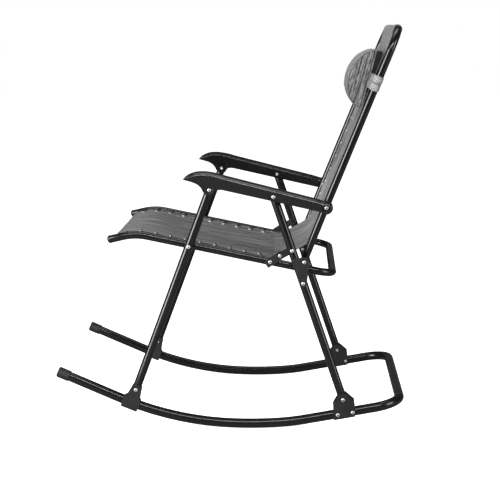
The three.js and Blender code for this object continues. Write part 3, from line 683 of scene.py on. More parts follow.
def rivet(node):
    """A domed tubular rivet with a pit in its head, its shank, and a rolled tail."""
    low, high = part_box(node)
    spot = (low + high) / 2
    side = -1 if spot.y < 0 else 1
    length = high.y - low.y
    head_height = 1.4 * MM if node.startswith("link_joint") else HEAD_HEIGHT
    shrink = head_height / HEAD_HEIGHT
    seat = length - head_height
    tail = 1.4 * MM
    if node.startswith(NO_TAIL):
        profile = [(0, 0), (3.0 * MM, 0)]
    else:
        profile = [(0, 0.3 * MM), (1.8 * MM, 0.3 * MM), (2.6 * MM, 0), (3.7 * MM, 0.25 * MM)]
        profile += [(4.2 * MM, tail * 0.7), (4.1 * MM, tail), (3.0 * MM, tail)]
    tail_rows = len(profile) - 1
    # Painted shade: the rows of the head's pit take the dark zinc.
    pit_from = len(profile) + len(HEAD) - 5
    profile += [(radius * MM, seat + height * MM * shrink) for radius, height in HEAD]
    start = Vector((spot.x, low.y if side > 0 else high.y, spot.z))
    mesh = turned(profile, start, (0, side, 0), 28, pit_below=pit_from)
    if node.startswith(("link_pivot", "link_joint")):
        mesh.faces.ensure_lookup_table()
        for face in mesh.faces[:28 * tail_rows]:
            face.material_index = 2
    body = frame["nodes"][node]["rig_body"]
    show(f"{node}_zinc", mesh, [RIVET, RIVET_PIT_SHADE, PAINT], body, [node])


def washer(label, place, side, inner, outer, radius, body, material, bore=3.2 * MM):
    """A round spacer between two distances from the middle, with eased edges and a bore."""
    ease = min(0.4 * MM, (outer - inner) / 4)
    length = outer - inner
    profile = [(bore, 0), (radius - ease, 0), (radius, ease), (radius, length - ease)]
    profile += [(radius - ease, length), (bore, length), (bore, 0)]
    start = Vector((place.x, side * inner, place.y))
    mesh = turned(profile, start, (0, side, 0), 36)
    bmesh.ops.remove_doubles(mesh, verts=mesh.verts, dist=1e-7)
    show(label, mesh, material, body)


# ---- armrests ----
ARM_MIDDLE = 291.5 * MM
ARM_WALL = 3 * MM
BOSS = 16.5 * MM


def on_circle(centre, radius, degrees):
    angle = math.radians(degrees)
    return centre + Vector((math.cos(angle), math.sin(angle))) * radius


def arc(centre, radius, start, end, steps):
    """Points on a side-view arc between two angles in degrees."""
    return [on_circle(centre, radius, start + (end - start) * k / steps) for k in range(steps + 1)]


def bezier(start, first, second, end, steps):
    points = []
    for k in range(steps + 1):
        t = k / steps
        u = 1 - t
        points.append(start * u**3 + first * 3 * u * u * t + second * 3 * u * t * t + end * t**3)
    return points


def resampled(points, count):
    """Evenly spaced points along a line."""
    lengths = [0.0]
    for first, second in zip(points, points[1:]):
        lengths.append(lengths[-1] + (second - first).length)
    result = []
    index = 0
    for k in range(count + 1):
        want = lengths[-1] * k / count
        while index < len(points) - 2 and lengths[index + 1] < want:
            index += 1
        span = max(lengths[index + 1] - lengths[index], 1e-12)
        result.append(points[index].lerp(points[index + 1], min(1.0, (want - lengths[index]) / span)))
    return result


def arm_lines():
    """Matching points of the armrest's top edge and bottom edge in the side view, from tip to rear end."""
    tip = Vector((-119, 648)) * MM
    crest_end = Vector((-12, 657)) * MM
    top = bezier(tip, Vector((-98, 674)) * MM, Vector((-60, 672)) * MM, crest_end, 24)
    top = resampled(top, 26)
    boss_top = on_circle(BACK, BOSS, 108)
    top += resampled([crest_end, Vector((214, 600.6)) * MM, boss_top], 30)[1:]
    top += arc(BACK, BOSS, 108, 0, 14)[1:]
    throat = bezier(tip, Vector((-100, 641)) * MM, Vector((-76, 641)) * MM, Vector((-68.5, 617)) * MM, 16)
    lobe = arc(FRONT_ARM, 15 * MM, 195, 350, 10)
    flare = bezier(lobe[-1], Vector((-34, 622)) * MM, Vector((-27, 622.8)) * MM, Vector((-18, 621.5)) * MM, 6)
    bottom = resampled([*throat, *lobe[1:], *flare[1:]], 26)
    boss_low = on_circle(BACK, BOSS, 222)
    bottom += resampled([flare[-1], boss_low], 30)[1:]
    bottom += arc(BACK, BOSS, 222, 360, 14)[1:]
    return top, bottom


# The cross-section above the skirt: distance out from the skirt's face, and drop from the crown.
CROWN = (
    (0, 10.5), (0.3, 10.0), (2.8, 9.8), (3.8, 9.4), (4.0, 8.9), (3.86, 8.6), (3.02, 6.6), (2.85, 6.3),
    (1.9, 5.9), (-1, 4.2), (-4, 2.4), (-8, 0.9), (-12, 0.1),
)


def armrest(name, side):
    """A moulded armrest: crowned top with a bead along each edge, thin skirts and a hollow underneath."""
    mesh = bmesh.new()
    top, bottom = arm_lines()
    outer_face = 17.5 * MM
    loops = []
    count = len(top)
    for i, (high, low) in enumerate(zip(top, bottom)):
        height = (high - low).length
        down = (low - high).normalized() if height > 1e-6 else Vector((0, -1))
        share = i / (count - 1)
        tightness = min(1.0, height / (13 * MM))
        ends = min(1.0, (share * (count - 1)) / 5, ((1 - share) * (count - 1)) / 6)
        crown_share = tightness * max(0.0, min(1.0, ends))
        hollow = max(0.0, min(1.0, (share - 0.29) / 0.05)) * max(0.0, min(1.0, (0.93 - share) / 0.04))
        depth = max(0.0, height - ARM_WALL) * hollow
        crown = [
            (out * MM * crown_share + outer_face, drop * MM * crown_share)
            for out, drop in CROWN
        ]
        skirt = [(outer_face - 0.5 * MM, height), (outer_face, height - min(0.5 * MM, height * 0.3))]
        outside = [*skirt, *crown]
        section = [*outside, (0.0, 0.0)]
        section += [(-y * (0.965 if d < 9.9 * MM else 1.0), d) for y, d in reversed(outside)]
        inner = outer_face - ARM_WALL
        section += [(-inner, height), (-inner, height - depth), (inner, height - depth), (inner, height)]
        loop = []
        for y, drop in section:
            point = high + down * min(drop, height)
            loop.append(mesh.verts.new(Vector((point.x, side * ARM_MIDDLE + side * y, point.y))))
        loops.append(loop)
    for first, second in zip(loops, loops[1:]):
        bridge(mesh, first, second)
    mesh.faces.new(loops[0])
    mesh.faces.new(loops[-1])
    bmesh.ops.remove_doubles(mesh, verts=mesh.verts, dist=0.02 * MM)
    bmesh.ops.dissolve_degenerate(mesh, dist=0.02 * MM, edges=mesh.edges)
    node = f"armrest_{name}"
    show(f"{node}_moulding", mesh, PLASTIC, "armrests", [node], sharp=50)
    for label, spot, radius in (("front", FRONT_ARM, 10.5), ("middle", REAR_ARM, 8.0), ("rear", BACK, 14.2)):
        face = ARM_MIDDLE + outer_face - 0.4 * MM
        rise = 1.9 if label == "rear" else 0.9
        profile = [(0, 0), (radius, 0), (radius, 0.4), (radius - 0.5, rise), (radius - 1.4, rise)]
        profile += [(radius - 2.2, rise - 0.55), (5.4, rise - 0.55), (5.2, 0.45), (0, 0.45)]
        ring = turned(in_mm(profile), in_space(spot, side * face), (0, side, 0), 48)
        show(f"armrest_{name}_{label}_boss", ring, PLASTIC, "armrests")


# ---- seat and back tubes ----
SEAT_FRONT = Vector((-309, 489)) * MM
SEAT_BEND = Vector((-247, 503.5)) * MM
SEAT_REAR = Vector((262, 400.4)) * MM
SEAT_BEND_RADIUS = 150 * MM
BACK_RUN = flat_run(BACK, BACK_TOP)
BACK_FRONT = Vector((-BACK_RUN.y, BACK_RUN.x))
BACK_LENGTH = (BACK_TOP - BACK).length
BACK_CORNER = 60 * MM


def seat_frame():
    def half(side):
        return [
            (in_space(SEAT_FRONT, side * FRAME_PLANE), 0),
            (in_space(SEAT_BEND, side * FRAME_PLANE), SEAT_BEND_RADIUS),
        ]
    corners = [(in_space(SEAT_REAR, side * FRAME_PLANE), 45 * MM) for side in (-1, 1)]
    path = lengthened(bent([*half(-1), *corners, *reversed(half(1))]))
    show("seat_frame_tube", tube(path, FRAME_RADIUS), PAINT, "seat_frame", ["seat_frame"])
    low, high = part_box("seat_cross_tube")
    centre = (low + high) / 2
    ends = [Vector((centre.x, y, centre.z)) for y in (low.y, high.y)]
    cross = tube(lengthened(ends), (high.z - low.z) / 2)
    show("seat_cross_tube_round", cross, PAINT, "seat_frame", ["seat_cross_tube"])


def seat_cap(name, side):
    run = flat_run(SEAT_BEND, SEAT_FRONT)
    profile = [(0, -16), (8.4, -16), (8.5, 0.3), (10.5, 0.3), (10.7, 0.9), (10.5, 2.6)]
    profile += [(9.8, 4.6), (8.4, 6.4), (6.4, 7.8), (3.8, 8.8), (1.8, 9.1), (0, 9.2)]
    mesh = turned(in_mm(profile), in_space(SEAT_FRONT, side * FRAME_PLANE), in_space(run, 0), 40)
    show(f"seat_cap_{name}_plug", mesh, PLASTIC, "seat_frame", [f"seat_cap_{name}"])


def back_frame():
    foot = PLATE_TOP + flat_run(BACK, PLATE_TOP) * 10 * MM

    def half(side):
        return [(in_space(foot, side * FRAME_PLANE), 0), (in_space(BACK, side * FRAME_PLANE), 0)]
    corners = [(in_space(BACK_TOP, side * FRAME_PLANE), BACK_CORNER) for side in (-1, 1)]
    path = lengthened(bent([*half(-1), *corners, *reversed(half(1))]))
    show("back_frame_tube", tube(path, FRAME_RADIUS), PAINT, "back_frame", ["back_frame"])


# ---- pressed plates that the CAD already has ----
def pressed_plates():
    """Brackets, clips and plates stay as they are, with eased edges and the grainy coat."""
    for node, piece in frame["nodes"].items():
        if not node.startswith(("rear_bracket", "front_clip", "link_lug", "link_bar", "back_plate")):
            continue
        piece.data.materials.clear()
        piece.data.materials.append(GRAIN_COAT)
        ease = piece.modifiers.new("eased_edges", "BEVEL")
        ease.width = 0.45 * MM
        ease.segments = 2
        ease.limit_method = "ANGLE"
        ease.angle_limit = math.radians(40)
        for face in piece.data.polygons:
            face.use_smooth = False


# ---- slings ----
SLING_THICKNESS = 1.4 * MM
GROMMET_PITCH = 39.2 * MM
GROMMET_INSET = 30 * MM
FIRST_GROMMET = 26 * MM
CORD_RADIUS = 1.8 * MM
SCALLOP = 5 * MM
SAG = 7 * MM


def lifted(points, distance):
    """A side-view line moved square to itself."""
    last = len(points) - 1
    result = []
    for i, point in enumerate(points):
        run = flat_run(points[max(i - 1, 0)], points[min(i + 1, last)])
        result.append(point + Vector((-run.y, run.x)) * distance)
    return result


def back_place(along, lift):
    return BACK + BACK_RUN * along + BACK_FRONT * lift


SEAT_RAIL = bent([(SEAT_FRONT, 0), (SEAT_BEND, SEAT_BEND_RADIUS), (SEAT_REAR, 0)])


def seat_cloth_line():
    """The seat cloth's middle line, from 10 mm behind the tube ends to where the hip part begins."""
    fall = (SEAT_LIFT - SEAT_FRONT_LIFT) / (SEAT_REAR.x - SEAT_FRONT.x)
    line = [point - Vector((0, fall * (SEAT_REAR.x - point.x))) for point in lifted(SEAT_RAIL, SEAT_LIFT)]
    line[0] = line[0] + flat_run(line[0], line[1]) * 10 * MM
    run = flat_run(line[-2], line[-1])
    line[-1] = line[-1] + run * ((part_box("seat_sling")[1].x - line[-1].x) / run.x)
    return line


BACK_CLOTH_START = -88 * MM
HIP_OVERLAP = 4 * MM


def smooth_line(points, count):
    """A Catmull-Rom line through points of the side view or of space."""
    padded = [points[0] * 2 - points[1], *points, points[-1] * 2 - points[-2]]
    result = []
    for a, b, c, d in zip(padded, padded[1:], padded[2:], padded[3:]):
        for k in range(count):
            t = k / count
            curve = (a * 2 - b * 5 + c * 4 - d) * t * t
            result.append((b * 2 + (c - a) * t + curve + (b * 3 - a - c * 3 + d) * t**3) * 0.5)
    result.append(points[-1])
    return result


def hip_cloth_line():
    seat_line = seat_cloth_line()
    run = flat_run(seat_line[-2], seat_line[-1])
    start = seat_line[-1] - run * HIP_OVERLAP + Vector((run.y, -run.x)) * 1.5 * MM
    inner = [Vector(point) * MM for point in ((132, 439), (154, 452.5), (193, 475.5))]
    end = back_place(BACK_CLOTH_START + HIP_OVERLAP, -1.5 * MM)
    return smooth_line([start, *inner, end], 12)


def back_cloth_line():
    """Up the front of the back frame, over the top tube and down to the seam behind it."""
    rise = ((-90, 0), (-60, 1.5), (-30, 5.5))
    front = [back_place(BACK_CLOTH_START, 0)]
    front += [back_place(BACK_LENGTH + along * MM, lift * MM) for along, lift in rise]
    lean = math.degrees(math.atan2(BACK_FRONT.y, BACK_FRONT.x))
    over = arc(BACK_TOP, FRAME_RADIUS + 1.2 * MM, lean, lean - 185, 24)
    seam = [(-25, -8.6), (-38, -4.8), (-50, -2.2), (-60, -1.0), (-72, -1.8)]
    behind = [back_place(BACK_LENGTH + along * MM, lift * MM) for along, lift in seam]
    return [*front, *over, *behind]


def close_sheet(mesh, grids, uv_of):
    """Faces over an upper and an under grid of vertices and round their rim, with UV."""
    layer = mesh.loops.layers.uv.new("cloth")
    upper, under = grids
    for i in range(len(upper) - 1):
        for k in range(len(upper[0]) - 1):
            mesh.faces.new((upper[i][k], upper[i][k + 1], upper[i + 1][k + 1], upper[i + 1][k]))
            mesh.faces.new((under[i][k], under[i + 1][k], under[i + 1][k + 1], under[i][k + 1]))
    rims = []
    for grid in grids:
        one_side = [row[-1] for row in grid[1:]]
        other_side = [row[0] for row in grid[-2:0:-1]]
        rims.append([*grid[0], *one_side, *grid[-1][-2::-1], *other_side])
    bridge(mesh, *rims)
    for face in mesh.faces:
        for loop in face.loops:
            loop[layer].uv = uv_of[loop.vert]


def cloth(line, edge_at, sag_at, first_uv=0.0, spacing=2.4 * MM, columns=110):
    """A thin closed sheet along a side-view line. UV is in metres, X across and Y along the cloth."""
    total = length_of(line)
    rows = round(total / spacing)
    path = resampled(line, rows)
    mesh = bmesh.new()
    uv_of = {}
    grids = []
    for lift in (SLING_THICKNESS / 2, -SLING_THICKNESS / 2):
        surface = lifted(path, lift)
        grid = []
        for i, point in enumerate(surface):
            along = total * i / rows
            run = flat_run(path[max(i - 1, 0)], path[min(i + 1, rows)])
            normal = Vector((-run.y, run.x))
            edge = edge_at(along)
            row = []
            for k in range(columns + 1):
                share = 2 * k / columns - 1
                share = math.copysign(abs(share) ** 0.9, share)
                y = edge * share
                drop = sag_at(along) * (1 - share * share)
                hem = 0.35 * MM if edge - abs(y) < 15 * MM else 0.0
                wander = noise.noise(Vector((path[i].x * 14, y * 9, path[i].y * 14)))
                ripple = wander * 1.2 * MM * (1 - share**8)
                spot = point - normal * (drop + ripple) + normal * math.copysign(hem, lift)
                vertex = mesh.verts.new(in_space(spot, y))
                uv_of[vertex] = (y, first_uv + along)
                row.append(vertex)
            grid.append(row)
        grids.append(grid)
    close_sheet(mesh, grids, uv_of)
    return mesh, total


def scalloped(along):
    """Half the width of a sling whose edge is drawn out at each grommet and curved in between them."""
    phase = math.sin(math.pi * (along - FIRST_GROMMET) / GROMMET_PITCH)
    return SLING_EDGE + 1 * MM - SCALLOP * abs(phase) ** 1.3


def place_on(path, total, along, lift=0.0):
    """A point of a side-view line at a length along it, and the line's direction there."""
    share = along / total * (len(path) - 1)
    index = min(int(share), len(path) - 2)
    run = flat_run(path[index], path[index + 1])
    point = path[index].lerp(path[index + 1], share - index)
    return point + Vector((-run.y, run.x)) * lift, run


GROMMET = (
    (2.6, -1.5), (4.4, -1.55), (5.0, -1.2), (5.0, -0.9), (4.9, 0.9),
    (5.1, 1.25), (4.5, 1.9), (3.6, 2.15), (2.8, 1.8), (2.5, 1.1),
)


def grommets(label, path, total, places, side, body):
    """Zinc eyelets through the hem."""
    mesh = bmesh.new()
    for along in places:
        point, run = place_on(path, total, along)
        normal = in_space(Vector((-run.y, run.x)), 0)
        spot = in_space(point, side * (SLING_EDGE - GROMMET_INSET))
        ring = turned(in_mm((*GROMMET, GROMMET[0])), spot, normal, 24)
        bmesh.ops.remove_doubles(ring, verts=ring.verts, dist=1e-7)
        part = bpy.data.meshes.new("ring")
        ring.to_mesh(part)
        ring.free()
        mesh.from_mesh(part)
        bpy.data.meshes.remove(part)
    show(label, mesh, EYELET, body)


def lacing(label, path, total, places, side, body, node):
    """An elastic cord out from each grommet over the hem to the tube, and back under the hem."""
    points = []
    inner_y = SLING_EDGE - GROMMET_INSET
    outer_y = SLING_EDGE + 2 * MM
    tube_y = FRAME_PLANE - FRAME_RADIUS - 2 * MM
    for k, along in enumerate(places):
        for shift, y, lift in (
            (-5, outer_y, -2.6), (-3, inner_y + 9 * MM, -3.0), (-1, inner_y + 1 * MM, -2.8),
            (0, inner_y, 0.2), (1, inner_y + 1.2 * MM, 3.2), (3, inner_y + 9 * MM, 3.0), (5, outer_y, 2.4),
        ):
            point, _ = place_on(path, total, min(max(along + shift * MM, 0), total), lift * MM)
            points.append(in_space(point, side * y))
        if k < len(places) - 1:
            half = (along + places[k + 1]) / 2
            for shift, lift in ((-4, -4.5), (0, -8.5), (4, -4.5)):
                point, _ = place_on(path, total, half + shift * MM, lift * MM)
                points.append(in_space(point, side * (tube_y - abs(shift) * 0.35 * MM)))
    cord = tube(smooth_line(points, 4), CORD_RADIUS, wall=0, sides=10)
    show(label, cord, BUNGEE, body, [node])


def grommet_places(until):
    count = int((until - FIRST_GROMMET) / GROMMET_PITCH) + 1
    return [FIRST_GROMMET + GROMMET_PITCH * k for k in range(count)]


def slings():
    seat_line = seat_cloth_line()
    hip_line = hip_cloth_line()
    back_line = back_cloth_line()

    seat_total = length_of(seat_line)
    back_total = length_of(back_line)
    hip_first = -HIP_OVERLAP

    def seat_sag(along):
        share = min(1.0, max(0.0, (along - 75 * MM) / (110 * MM)))
        return SAG * share * share * (3 - 2 * share)

    lace_top = BACK_LENGTH - 64 * MM - BACK_CLOTH_START

    def back_edge(along):
        """Scalloped beside the straight tubes, then following the inside of the frame's corner bend."""
        below_top = BACK_LENGTH - BACK_CLOTH_START - along
        inside = BACK_CORNER - FRAME_RADIUS
        drop = max(0.0, BACK_CORNER - below_top)
        follow = SLEEVE_EDGE + math.sqrt(max(0.0, inside**2 - drop**2))
        return min(scalloped(min(along, lace_top)), follow)

    def back_sag(along):
        return SAG * min(1.0, max(0.0, (lace_top + 40 * MM - along) / (160 * MM)))

    def hip_edge(_):
        return SLING_EDGE - 3 * MM

    back_first = hip_first + length_of(hip_line)
    for name, line, edge, sag, first_uv, material, slot, body in (
        ("seat", seat_line, scalloped, seat_sag, -seat_total, SEAT_MESH, "seat_mesh", "seat_frame"),
        ("hip", hip_line, hip_edge, lambda _: SAG, hip_first, HIP_MESH, "back_mesh", "back_frame"),
        ("back", back_line, back_edge, back_sag, back_first, BACK_MESH, "back_mesh", "back_frame"),
    ):
        mesh, total = cloth(line, edge, sag, first_uv)
        label = f"{name}_sling"
        cloth_piece = show(f"{label}_cloth", mesh, material, body, [label], sharp=60)
        if name == "hip":
            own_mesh(cloth_piece)
    seat_path = resampled(seat_line, 200)
    back_path = resampled(back_line, 240)
    seat_places = grommet_places(seat_total - 6 * MM)
    back_places = grommet_places(lace_top + 4 * MM)
    edges = (("seat", seat_path, seat_total, seat_places), ("back", back_path, back_total, back_places))
    for name, side in SIDES:
        for part, path, total, places in edges:
            grommets(f"{part}_grommets_{name}", path, total, places, side, f"{part}_frame")
        for part, path, total, places in edges:
            node = f"{part}_lacing_{name}"
            lacing(f"{node}_cord", path, total, places, side, f"{part}_frame", node)


# ---- headrest ----
PILLOW_ALONG = 336 * MM
PILLOW_HALF_HEIGHT = 79 * MM
PILLOW_BACK = 4.5 * MM
PILLOW_DEPTH = 62.5 * MM
PILLOW_HALF_WIDTH = 130 * MM
STRAP_ALONG = 334 * MM
STRAP_WIDTH = 38 * MM


COVER_STEP = 3.2 * MM
FRONT_SHARE = 0.66
SLACK_ALONG = 0.985
SLACK_LIFT = 0.97


def pillow_outline(count):
    """(along, lift) pairs round the pillow's D-shaped end, starting at the bottom of its flat back."""
    points = []
    flat = PILLOW_HALF_HEIGHT - 8 * MM
    front = round(count * FRONT_SHARE)
    for k in range(front):
        angle = -math.pi / 2 + math.pi * k / (front - 1)
        along = PILLOW_HALF_HEIGHT * math.sin(angle)
        lift = 5 * MM + (PILLOW_DEPTH - 5 * MM) * math.cos(angle)
        points.append((along, lift))
    back = count - front
    for k in range(back):
        share = (k + 0.5) / back
        points.append((flat * (1 - 2 * share), 0.0))
    return points


def pillow_spot(along, lift, y):
    return in_space(back_place(PILLOW_ALONG + along, PILLOW_BACK + lift), y)


def pillow():
    """A stuffed D-section bolster, swollen by a cloth simulation between its two end seams."""
    around = 96
    rows = 84
    rings_in = 12
    mesh = bmesh.new()
    outline = pillow_outline(around)
    centre_lift = PILLOW_DEPTH * 0.42
    body_rows = []
    for i in range(rows + 1):
        y = PILLOW_HALF_WIDTH * (2 * i / rows - 1)
        ring = []
        for along, lift in outline:
            ring.append(mesh.verts.new(pillow_spot(along * SLACK_ALONG, lift * SLACK_LIFT, y)))
        body_rows.append(ring)
    for first, second in zip(body_rows, body_rows[1:]):
        bridge(mesh, first, second)
    for end, ring in ((-1, body_rows[0]), (1, body_rows[-1])):
        last = ring
        for k in range(1, rings_in):
            share = 1 - k / rings_in
            inner = []
            for along, lift in outline:
                inner.append(mesh.verts.new(pillow_spot(
                    along * SLACK_ALONG * share,
                    centre_lift + (lift * SLACK_LIFT - centre_lift) * share,
                    end * PILLOW_HALF_WIDTH,
                )))
            bridge(mesh, last, inner)
            last = inner
        point = mesh.verts.new(pillow_spot(0, centre_lift, end * PILLOW_HALF_WIDTH))
        for k in range(around):
            mesh.faces.new((last[k], last[(k + 1) % around], point))
    bmesh.ops.recalc_face_normals(mesh, faces=mesh.faces)
    data = bpy.data.meshes.new("pillow")
    mesh.to_mesh(data)
    mesh.free()
    seam = {*range(around), *range(rows * around, (rows + 1) * around)}
    rest = [vertex.co.copy() for vertex in data.vertices]
    swell(data, seam, rest)
    shape_pillow(data, rest, around, rows)
    flat_from = round(around * FRONT_SHARE)
    for polygon in data.polygons:
        if max(polygon.vertices) >= around * (rows + 1):
            polygon.material_index = 1
        # Painted shade: the flat back's faces take the plain black that stands for the shadow between the
        # pillow and the sling.
        elif min(index % around for index in polygon.vertices) >= flat_from:
            polygon.material_index = 2
    covers = [PILLOW, PILLOW_END, FLAT_BACK_SHADE]
    node = "headrest_pillow"
    piece = show(f"{node}_cover", data, covers, "headrest", [node], sharp=70)
    smooth = piece.modifiers.new("smooth", "SUBSURF")
    smooth.levels = 1
    smooth.render_levels = 1
    for name, side in SIDES:
        end = side * (PILLOW_HALF_WIDTH + 0.4 * MM)
        ring = [pillow_spot(along * 0.99, lift * 0.985, end) for along, lift in outline]
        piping = closed_cord(ring, 0.9 * MM)
        show(f"headrest_piping_{name}", piping, PILLOW, "headrest")


def swell(data, seam, rest):
    """Inflates the cover with Blender's cloth; the end seams and the flat back stay where they are."""
    puffed = bpy.data.objects.new("puffed", data)
    bpy.context.scene.collection.objects.link(puffed)
    held = puffed.vertex_groups.new(name="held")
    back_limit = PILLOW_BACK + 2 * MM
    for index, place in enumerate(rest):
        lift = (Vector((place.x, place.z)) - BACK).dot(BACK_FRONT)
        if index in seam or lift < back_limit:
            held.add([index], 1.0, "REPLACE")
    modifier = puffed.modifiers.new("cloth", "CLOTH")
    settings = modifier.settings
    settings.vertex_group_mass = "held"
    settings.quality = 6
    settings.mass = 0.12
    settings.tension_stiffness = 22
    settings.compression_stiffness = 12
    settings.shear_stiffness = 8
    settings.bending_stiffness = 0.35
    settings.shrink_min = -0.035
    settings.use_pressure = True
    settings.uniform_pressure_force = 4.2
    settings.effector_weights.gravity = 0
    modifier.collision_settings.use_collision = False
    scene = bpy.context.scene
    for number in range(1, 23):
        scene.frame_set(number)
    evaluated = puffed.evaluated_get(bpy.context.evaluated_depsgraph_get())
    furthest = 4 * MM
    for index, vertex in enumerate(evaluated.data.vertices):
        shift = vertex.co - rest[index]
        if shift.length > furthest:
            shift = shift.normalized() * furthest
        rest[index] = rest[index] + shift
    bpy.data.objects.remove(puffed)
    scene.frame_set(1)


def shape_pillow(data, places, around, rows):
    """Writes the swollen places back, adds gathers near the seams, keeps clear of the sling, and sets UV."""
    body_count = around * (rows + 1)
    layer = data.uv_layers.new(name="cloth")
    cover_uv = []
    end_uv = []
    for index, place in enumerate(places):
        side_place = Vector((place.x, place.z)) - BACK
        along = side_place.dot(BACK_RUN) - PILLOW_ALONG
        lift = side_place.dot(BACK_FRONT) - PILLOW_BACK
        if index < body_count:
            k = index % around
            cover_uv.append((place.y, COVER_STEP * k))
            to_seam = PILLOW_HALF_WIDTH - abs(place.y)
            gather = math.exp(-to_seam / (16 * MM)) * min(1.0, to_seam / (5 * MM))
            crease = noise.noise(Vector((k * 0.55, 4.2, place.y * 8))) * 2.2 * MM * gather
            ripple = noise.noise(Vector((place.y * 60, along * 9, 1.7))) * 0.9 * MM
            outward = Vector((along, lift - PILLOW_DEPTH * 0.35))
            outward = outward.normalized() if outward.length > 1e-6 else Vector((0, 1))
            push = crease + ripple if lift > 6 * MM else 0.0
            along += outward.x * push
            lift += outward.y * push
            y = place.y
        else:
            clear = max(0.0, min(1.0, abs(lift) / (10 * MM), (PILLOW_DEPTH - lift) / (14 * MM)))
            reach = math.hypot(along / PILLOW_HALF_HEIGHT, (lift - 22 * MM) / (50 * MM))
            wander = 2.2 * noise.noise(Vector((along * 22, lift * 30, 0.4)))
            fold = math.sin((lift - END_FOLD_AND_SHADE_SLOPE * along) * 2 * math.pi / END_RIB + wander)
            depth = min(1.0, 4.0 * max(0.0, 1 - reach)) * clear
            y = place.y + math.copysign(fold * 0.8 * MM * depth, place.y)
        lift = max(lift, -1 * MM)
        end_uv.append((lift, along))
        point = back_place(PILLOW_ALONG + along, PILLOW_BACK + lift)
        data.vertices[index].co = in_space(point, y)
    for polygon in data.polygons:
        on_end = max(polygon.vertices) >= body_count
        for index in polygon.loop_indices:
            vertex = data.loops[index].vertex_index
            layer.data[index].uv = end_uv[vertex] if on_end else cover_uv[vertex]
        if not on_end:
            wrap_uv(layer, polygon, COVER_STEP * around)


def wrap_uv(layer, polygon, period):
    """Keeps a face that crosses the cover's joining line from spanning the whole texture."""
    rows = [layer.data[index].uv[1] for index in polygon.loop_indices]
    if max(rows) - min(rows) > period / 2:
        for index in polygon.loop_indices:
            if layer.data[index].uv[1] < period / 2:
                layer.data[index].uv[1] += period


def closed_cord(ring, radius, sides=12):
    """A cord that closes on itself, for piping. UV is in metres."""
    mesh = bmesh.new()
    layer = mesh.loops.layers.uv.new("cloth")
    count = len(ring)
    loops = []
    for i, point in enumerate(ring):
        run = (ring[(i + 1) % count] - ring[i - 1]).normalized()
        across = Vector((0, 1, 0))
        other = run.cross(across)
        loops.append(circle(mesh, point, across, other, radius, sides))
    for i in range(count):
        for k, face in enumerate(bridge(mesh, loops[i], loops[(i + 1) % count])):
            for corner, loop in enumerate(face.loops):
                loop[layer].uv = ((i + (corner // 2)) * COVER_STEP, (k + (corner % 3 > 0)) * radius * 0.5)
    return mesh


def strap_line():
    """(y, lift) pairs from the pillow's end, over the tube, round its outside and in behind it."""
    inside = FRAME_RADIUS + 1.0 * MM
    line = [Vector((PILLOW_HALF_WIDTH - 3 * MM, inside + 3 * MM))]
    line += [Vector((PILLOW_HALF_WIDTH + 8 * MM, inside + 1.6 * MM))]
    line += [Vector((PILLOW_HALF_WIDTH + 20 * MM, inside + 0.6 * MM)), Vector((FRAME_PLANE - 6 * MM, inside))]
    centre = Vector((FRAME_PLANE, 0))
    line += arc(centre, inside, 90, -90, 22)
    line += [Vector((FRAME_PLANE - 12 * MM, -inside + 1.4 * MM))]
    line += [Vector((FRAME_PLANE - 17 * MM, -inside + 3.2 * MM))]
    line += [Vector((SLING_EDGE - 8 * MM, -4 * MM)), Vector((SLING_EDGE - 26 * MM, 4.5 * MM))]
    return resampled(line, 70)


def headrest_strap(name, side):
    """Two bands of elastic, stitched side by side, that hold the pillow to the back tube."""
    line = strap_line()
    step = length_of(line) / (len(line) - 1)
    thick = 1.5 * MM
    columns = 44
    mesh = bmesh.new()
    uv_of = {}
    grids = []
    last = len(line) - 1
    for face_side in (0.5, -0.5):
        grid = []
        for i, point in enumerate(line):
            run = flat_run(line[max(i - 1, 0)], line[min(i + 1, last)])
            normal = Vector((-run.y, run.x))
            row = []
            for k in range(columns + 1):
                share = 2 * k / columns - 1
                groove = math.exp(-((share / 0.09) ** 2)) * 0.75
                groove += math.exp(-(((abs(share) - 0.9) / 0.035) ** 2)) * 0.25
                loose = 0.35 * MM * noise.noise(Vector((i * 0.25, share * 4, 2.0 + side)))
                height = face_side * thick * (1 - (groove if face_side > 0 else 0.0)) + loose
                spot = point + normal * height
                wave = 0.5 * MM * noise.noise(Vector((i * 0.12, 7.7, side)))
                along = STRAP_ALONG + share * STRAP_WIDTH / 2 + wave
                base = back_place(along, spot.y)
                vertex = mesh.verts.new(in_space(base, side * spot.x))
                uv_of[vertex] = (i * step, share * STRAP_WIDTH / 2)
                row.append(vertex)
            grid.append(row)
        grids.append(grid)
    close_sheet(mesh, grids, uv_of)
    node = f"headrest_strap_{name}"
    show(f"{node}_band", mesh, ELASTIC, "headrest", [node], sharp=60)


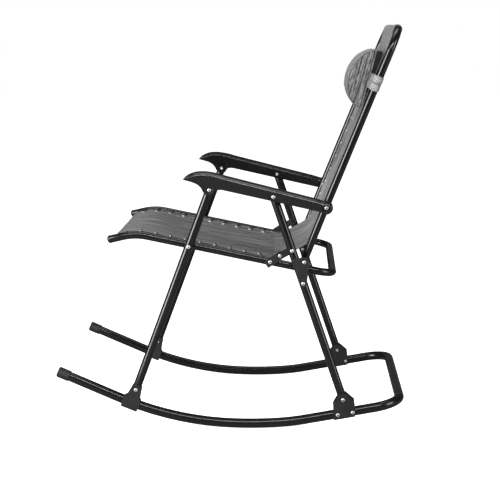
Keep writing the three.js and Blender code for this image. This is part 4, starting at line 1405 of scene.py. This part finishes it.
# ---- floor and light ----
def stage():
    bpy.ops.mesh.primitive_plane_add(size=40, location=(0, 0, -0.5 * MM))
    ground = bpy.context.object
    ground.name = "floor"
    ground.data.materials.append(floor_paint())
    world = bpy.data.worlds.new("studio")
    world.use_nodes = True
    tree = world.node_tree
    background = tree.nodes["Background"]
    background.inputs["Color"].default_value = (1, 1, 1, 1)
    seen = tree.nodes.new("ShaderNodeLightPath").outputs["Is Camera Ray"]
    level = tree.nodes.new("ShaderNodeMapRange")
    level.inputs["To Min"].default_value = 0.1
    level.inputs["To Max"].default_value = 1.0
    tree.links.new(seen, level.inputs["Value"])
    tree.links.new(level.outputs[0], background.inputs["Strength"])
    bpy.context.scene.world = world
    bpy.context.scene.view_settings.view_transform = "Standard"
    for name, place, aim, size, power in (
        ("key", (-2.3, -1.9, 1.3), (0, 0, 0.5), (1.4, 2.2), 150),
        ("overhead", (0.0, 0.3, 3.0), (0, 0, 0.4), (2.0, 1.2), 22),
        ("front", (0.1, -2.4, 2.4), (0, 0, 0.4), (2.4, 0.25), 45),
        ("fill", (2.8, -1.6, 1.3), (0, 0, 0.5), (1.2, 2.2), 45),
    ):
        data = bpy.data.lights.new(name, "AREA")
        data.shape = "RECTANGLE"
        data.size, data.size_y = size
        data.energy = power
        light = bpy.data.objects.new(name, data)
        light.location = place
        light.rotation_euler = (Vector(aim) - Vector(place)).to_track_quat("-Z", "Y").to_euler()
        bpy.context.scene.collection.objects.link(light)


# ---- the chair ----
make_camera()
rocker_base()
seat_frame()
back_frame()
pressed_plates()
for node in sorted(frame["nodes"]):
    if "rivet" in node:
        rivet(node)
for name, side in SIDES:
    rocker_cap(name, side)
    leg(f"rear_leg_{name}_tube", REAR_ARM, BRACKET, side, "rear_legs", f"rear_leg_{name}")
    leg(f"front_leg_{name}_tube", FRONT_ARM, CLIP, side, "front_legs", f"front_leg_{name}")
    armrest(name, side)
    seat_cap(name, side)
    washer(
        f"seat_spacer_{name}", SEAT, side, FRAME_PLANE + FRAME_RADIUS + GAP, LEG_PLANE - LEG_RADIUS - GAP,
        6 * MM, "front_legs", PLASTIC,
    )
    washer(
        f"plate_spacer_{name}", PLATE_TOP, side, FRAME_PLANE + FRAME_RADIUS + 2 * GAP, LEG_PLANE + LEG_RADIUS,
        6.5 * MM, "back_plates", PAINT,
    )
    headrest_strap(name, side)
slings()
pillow()
stage()
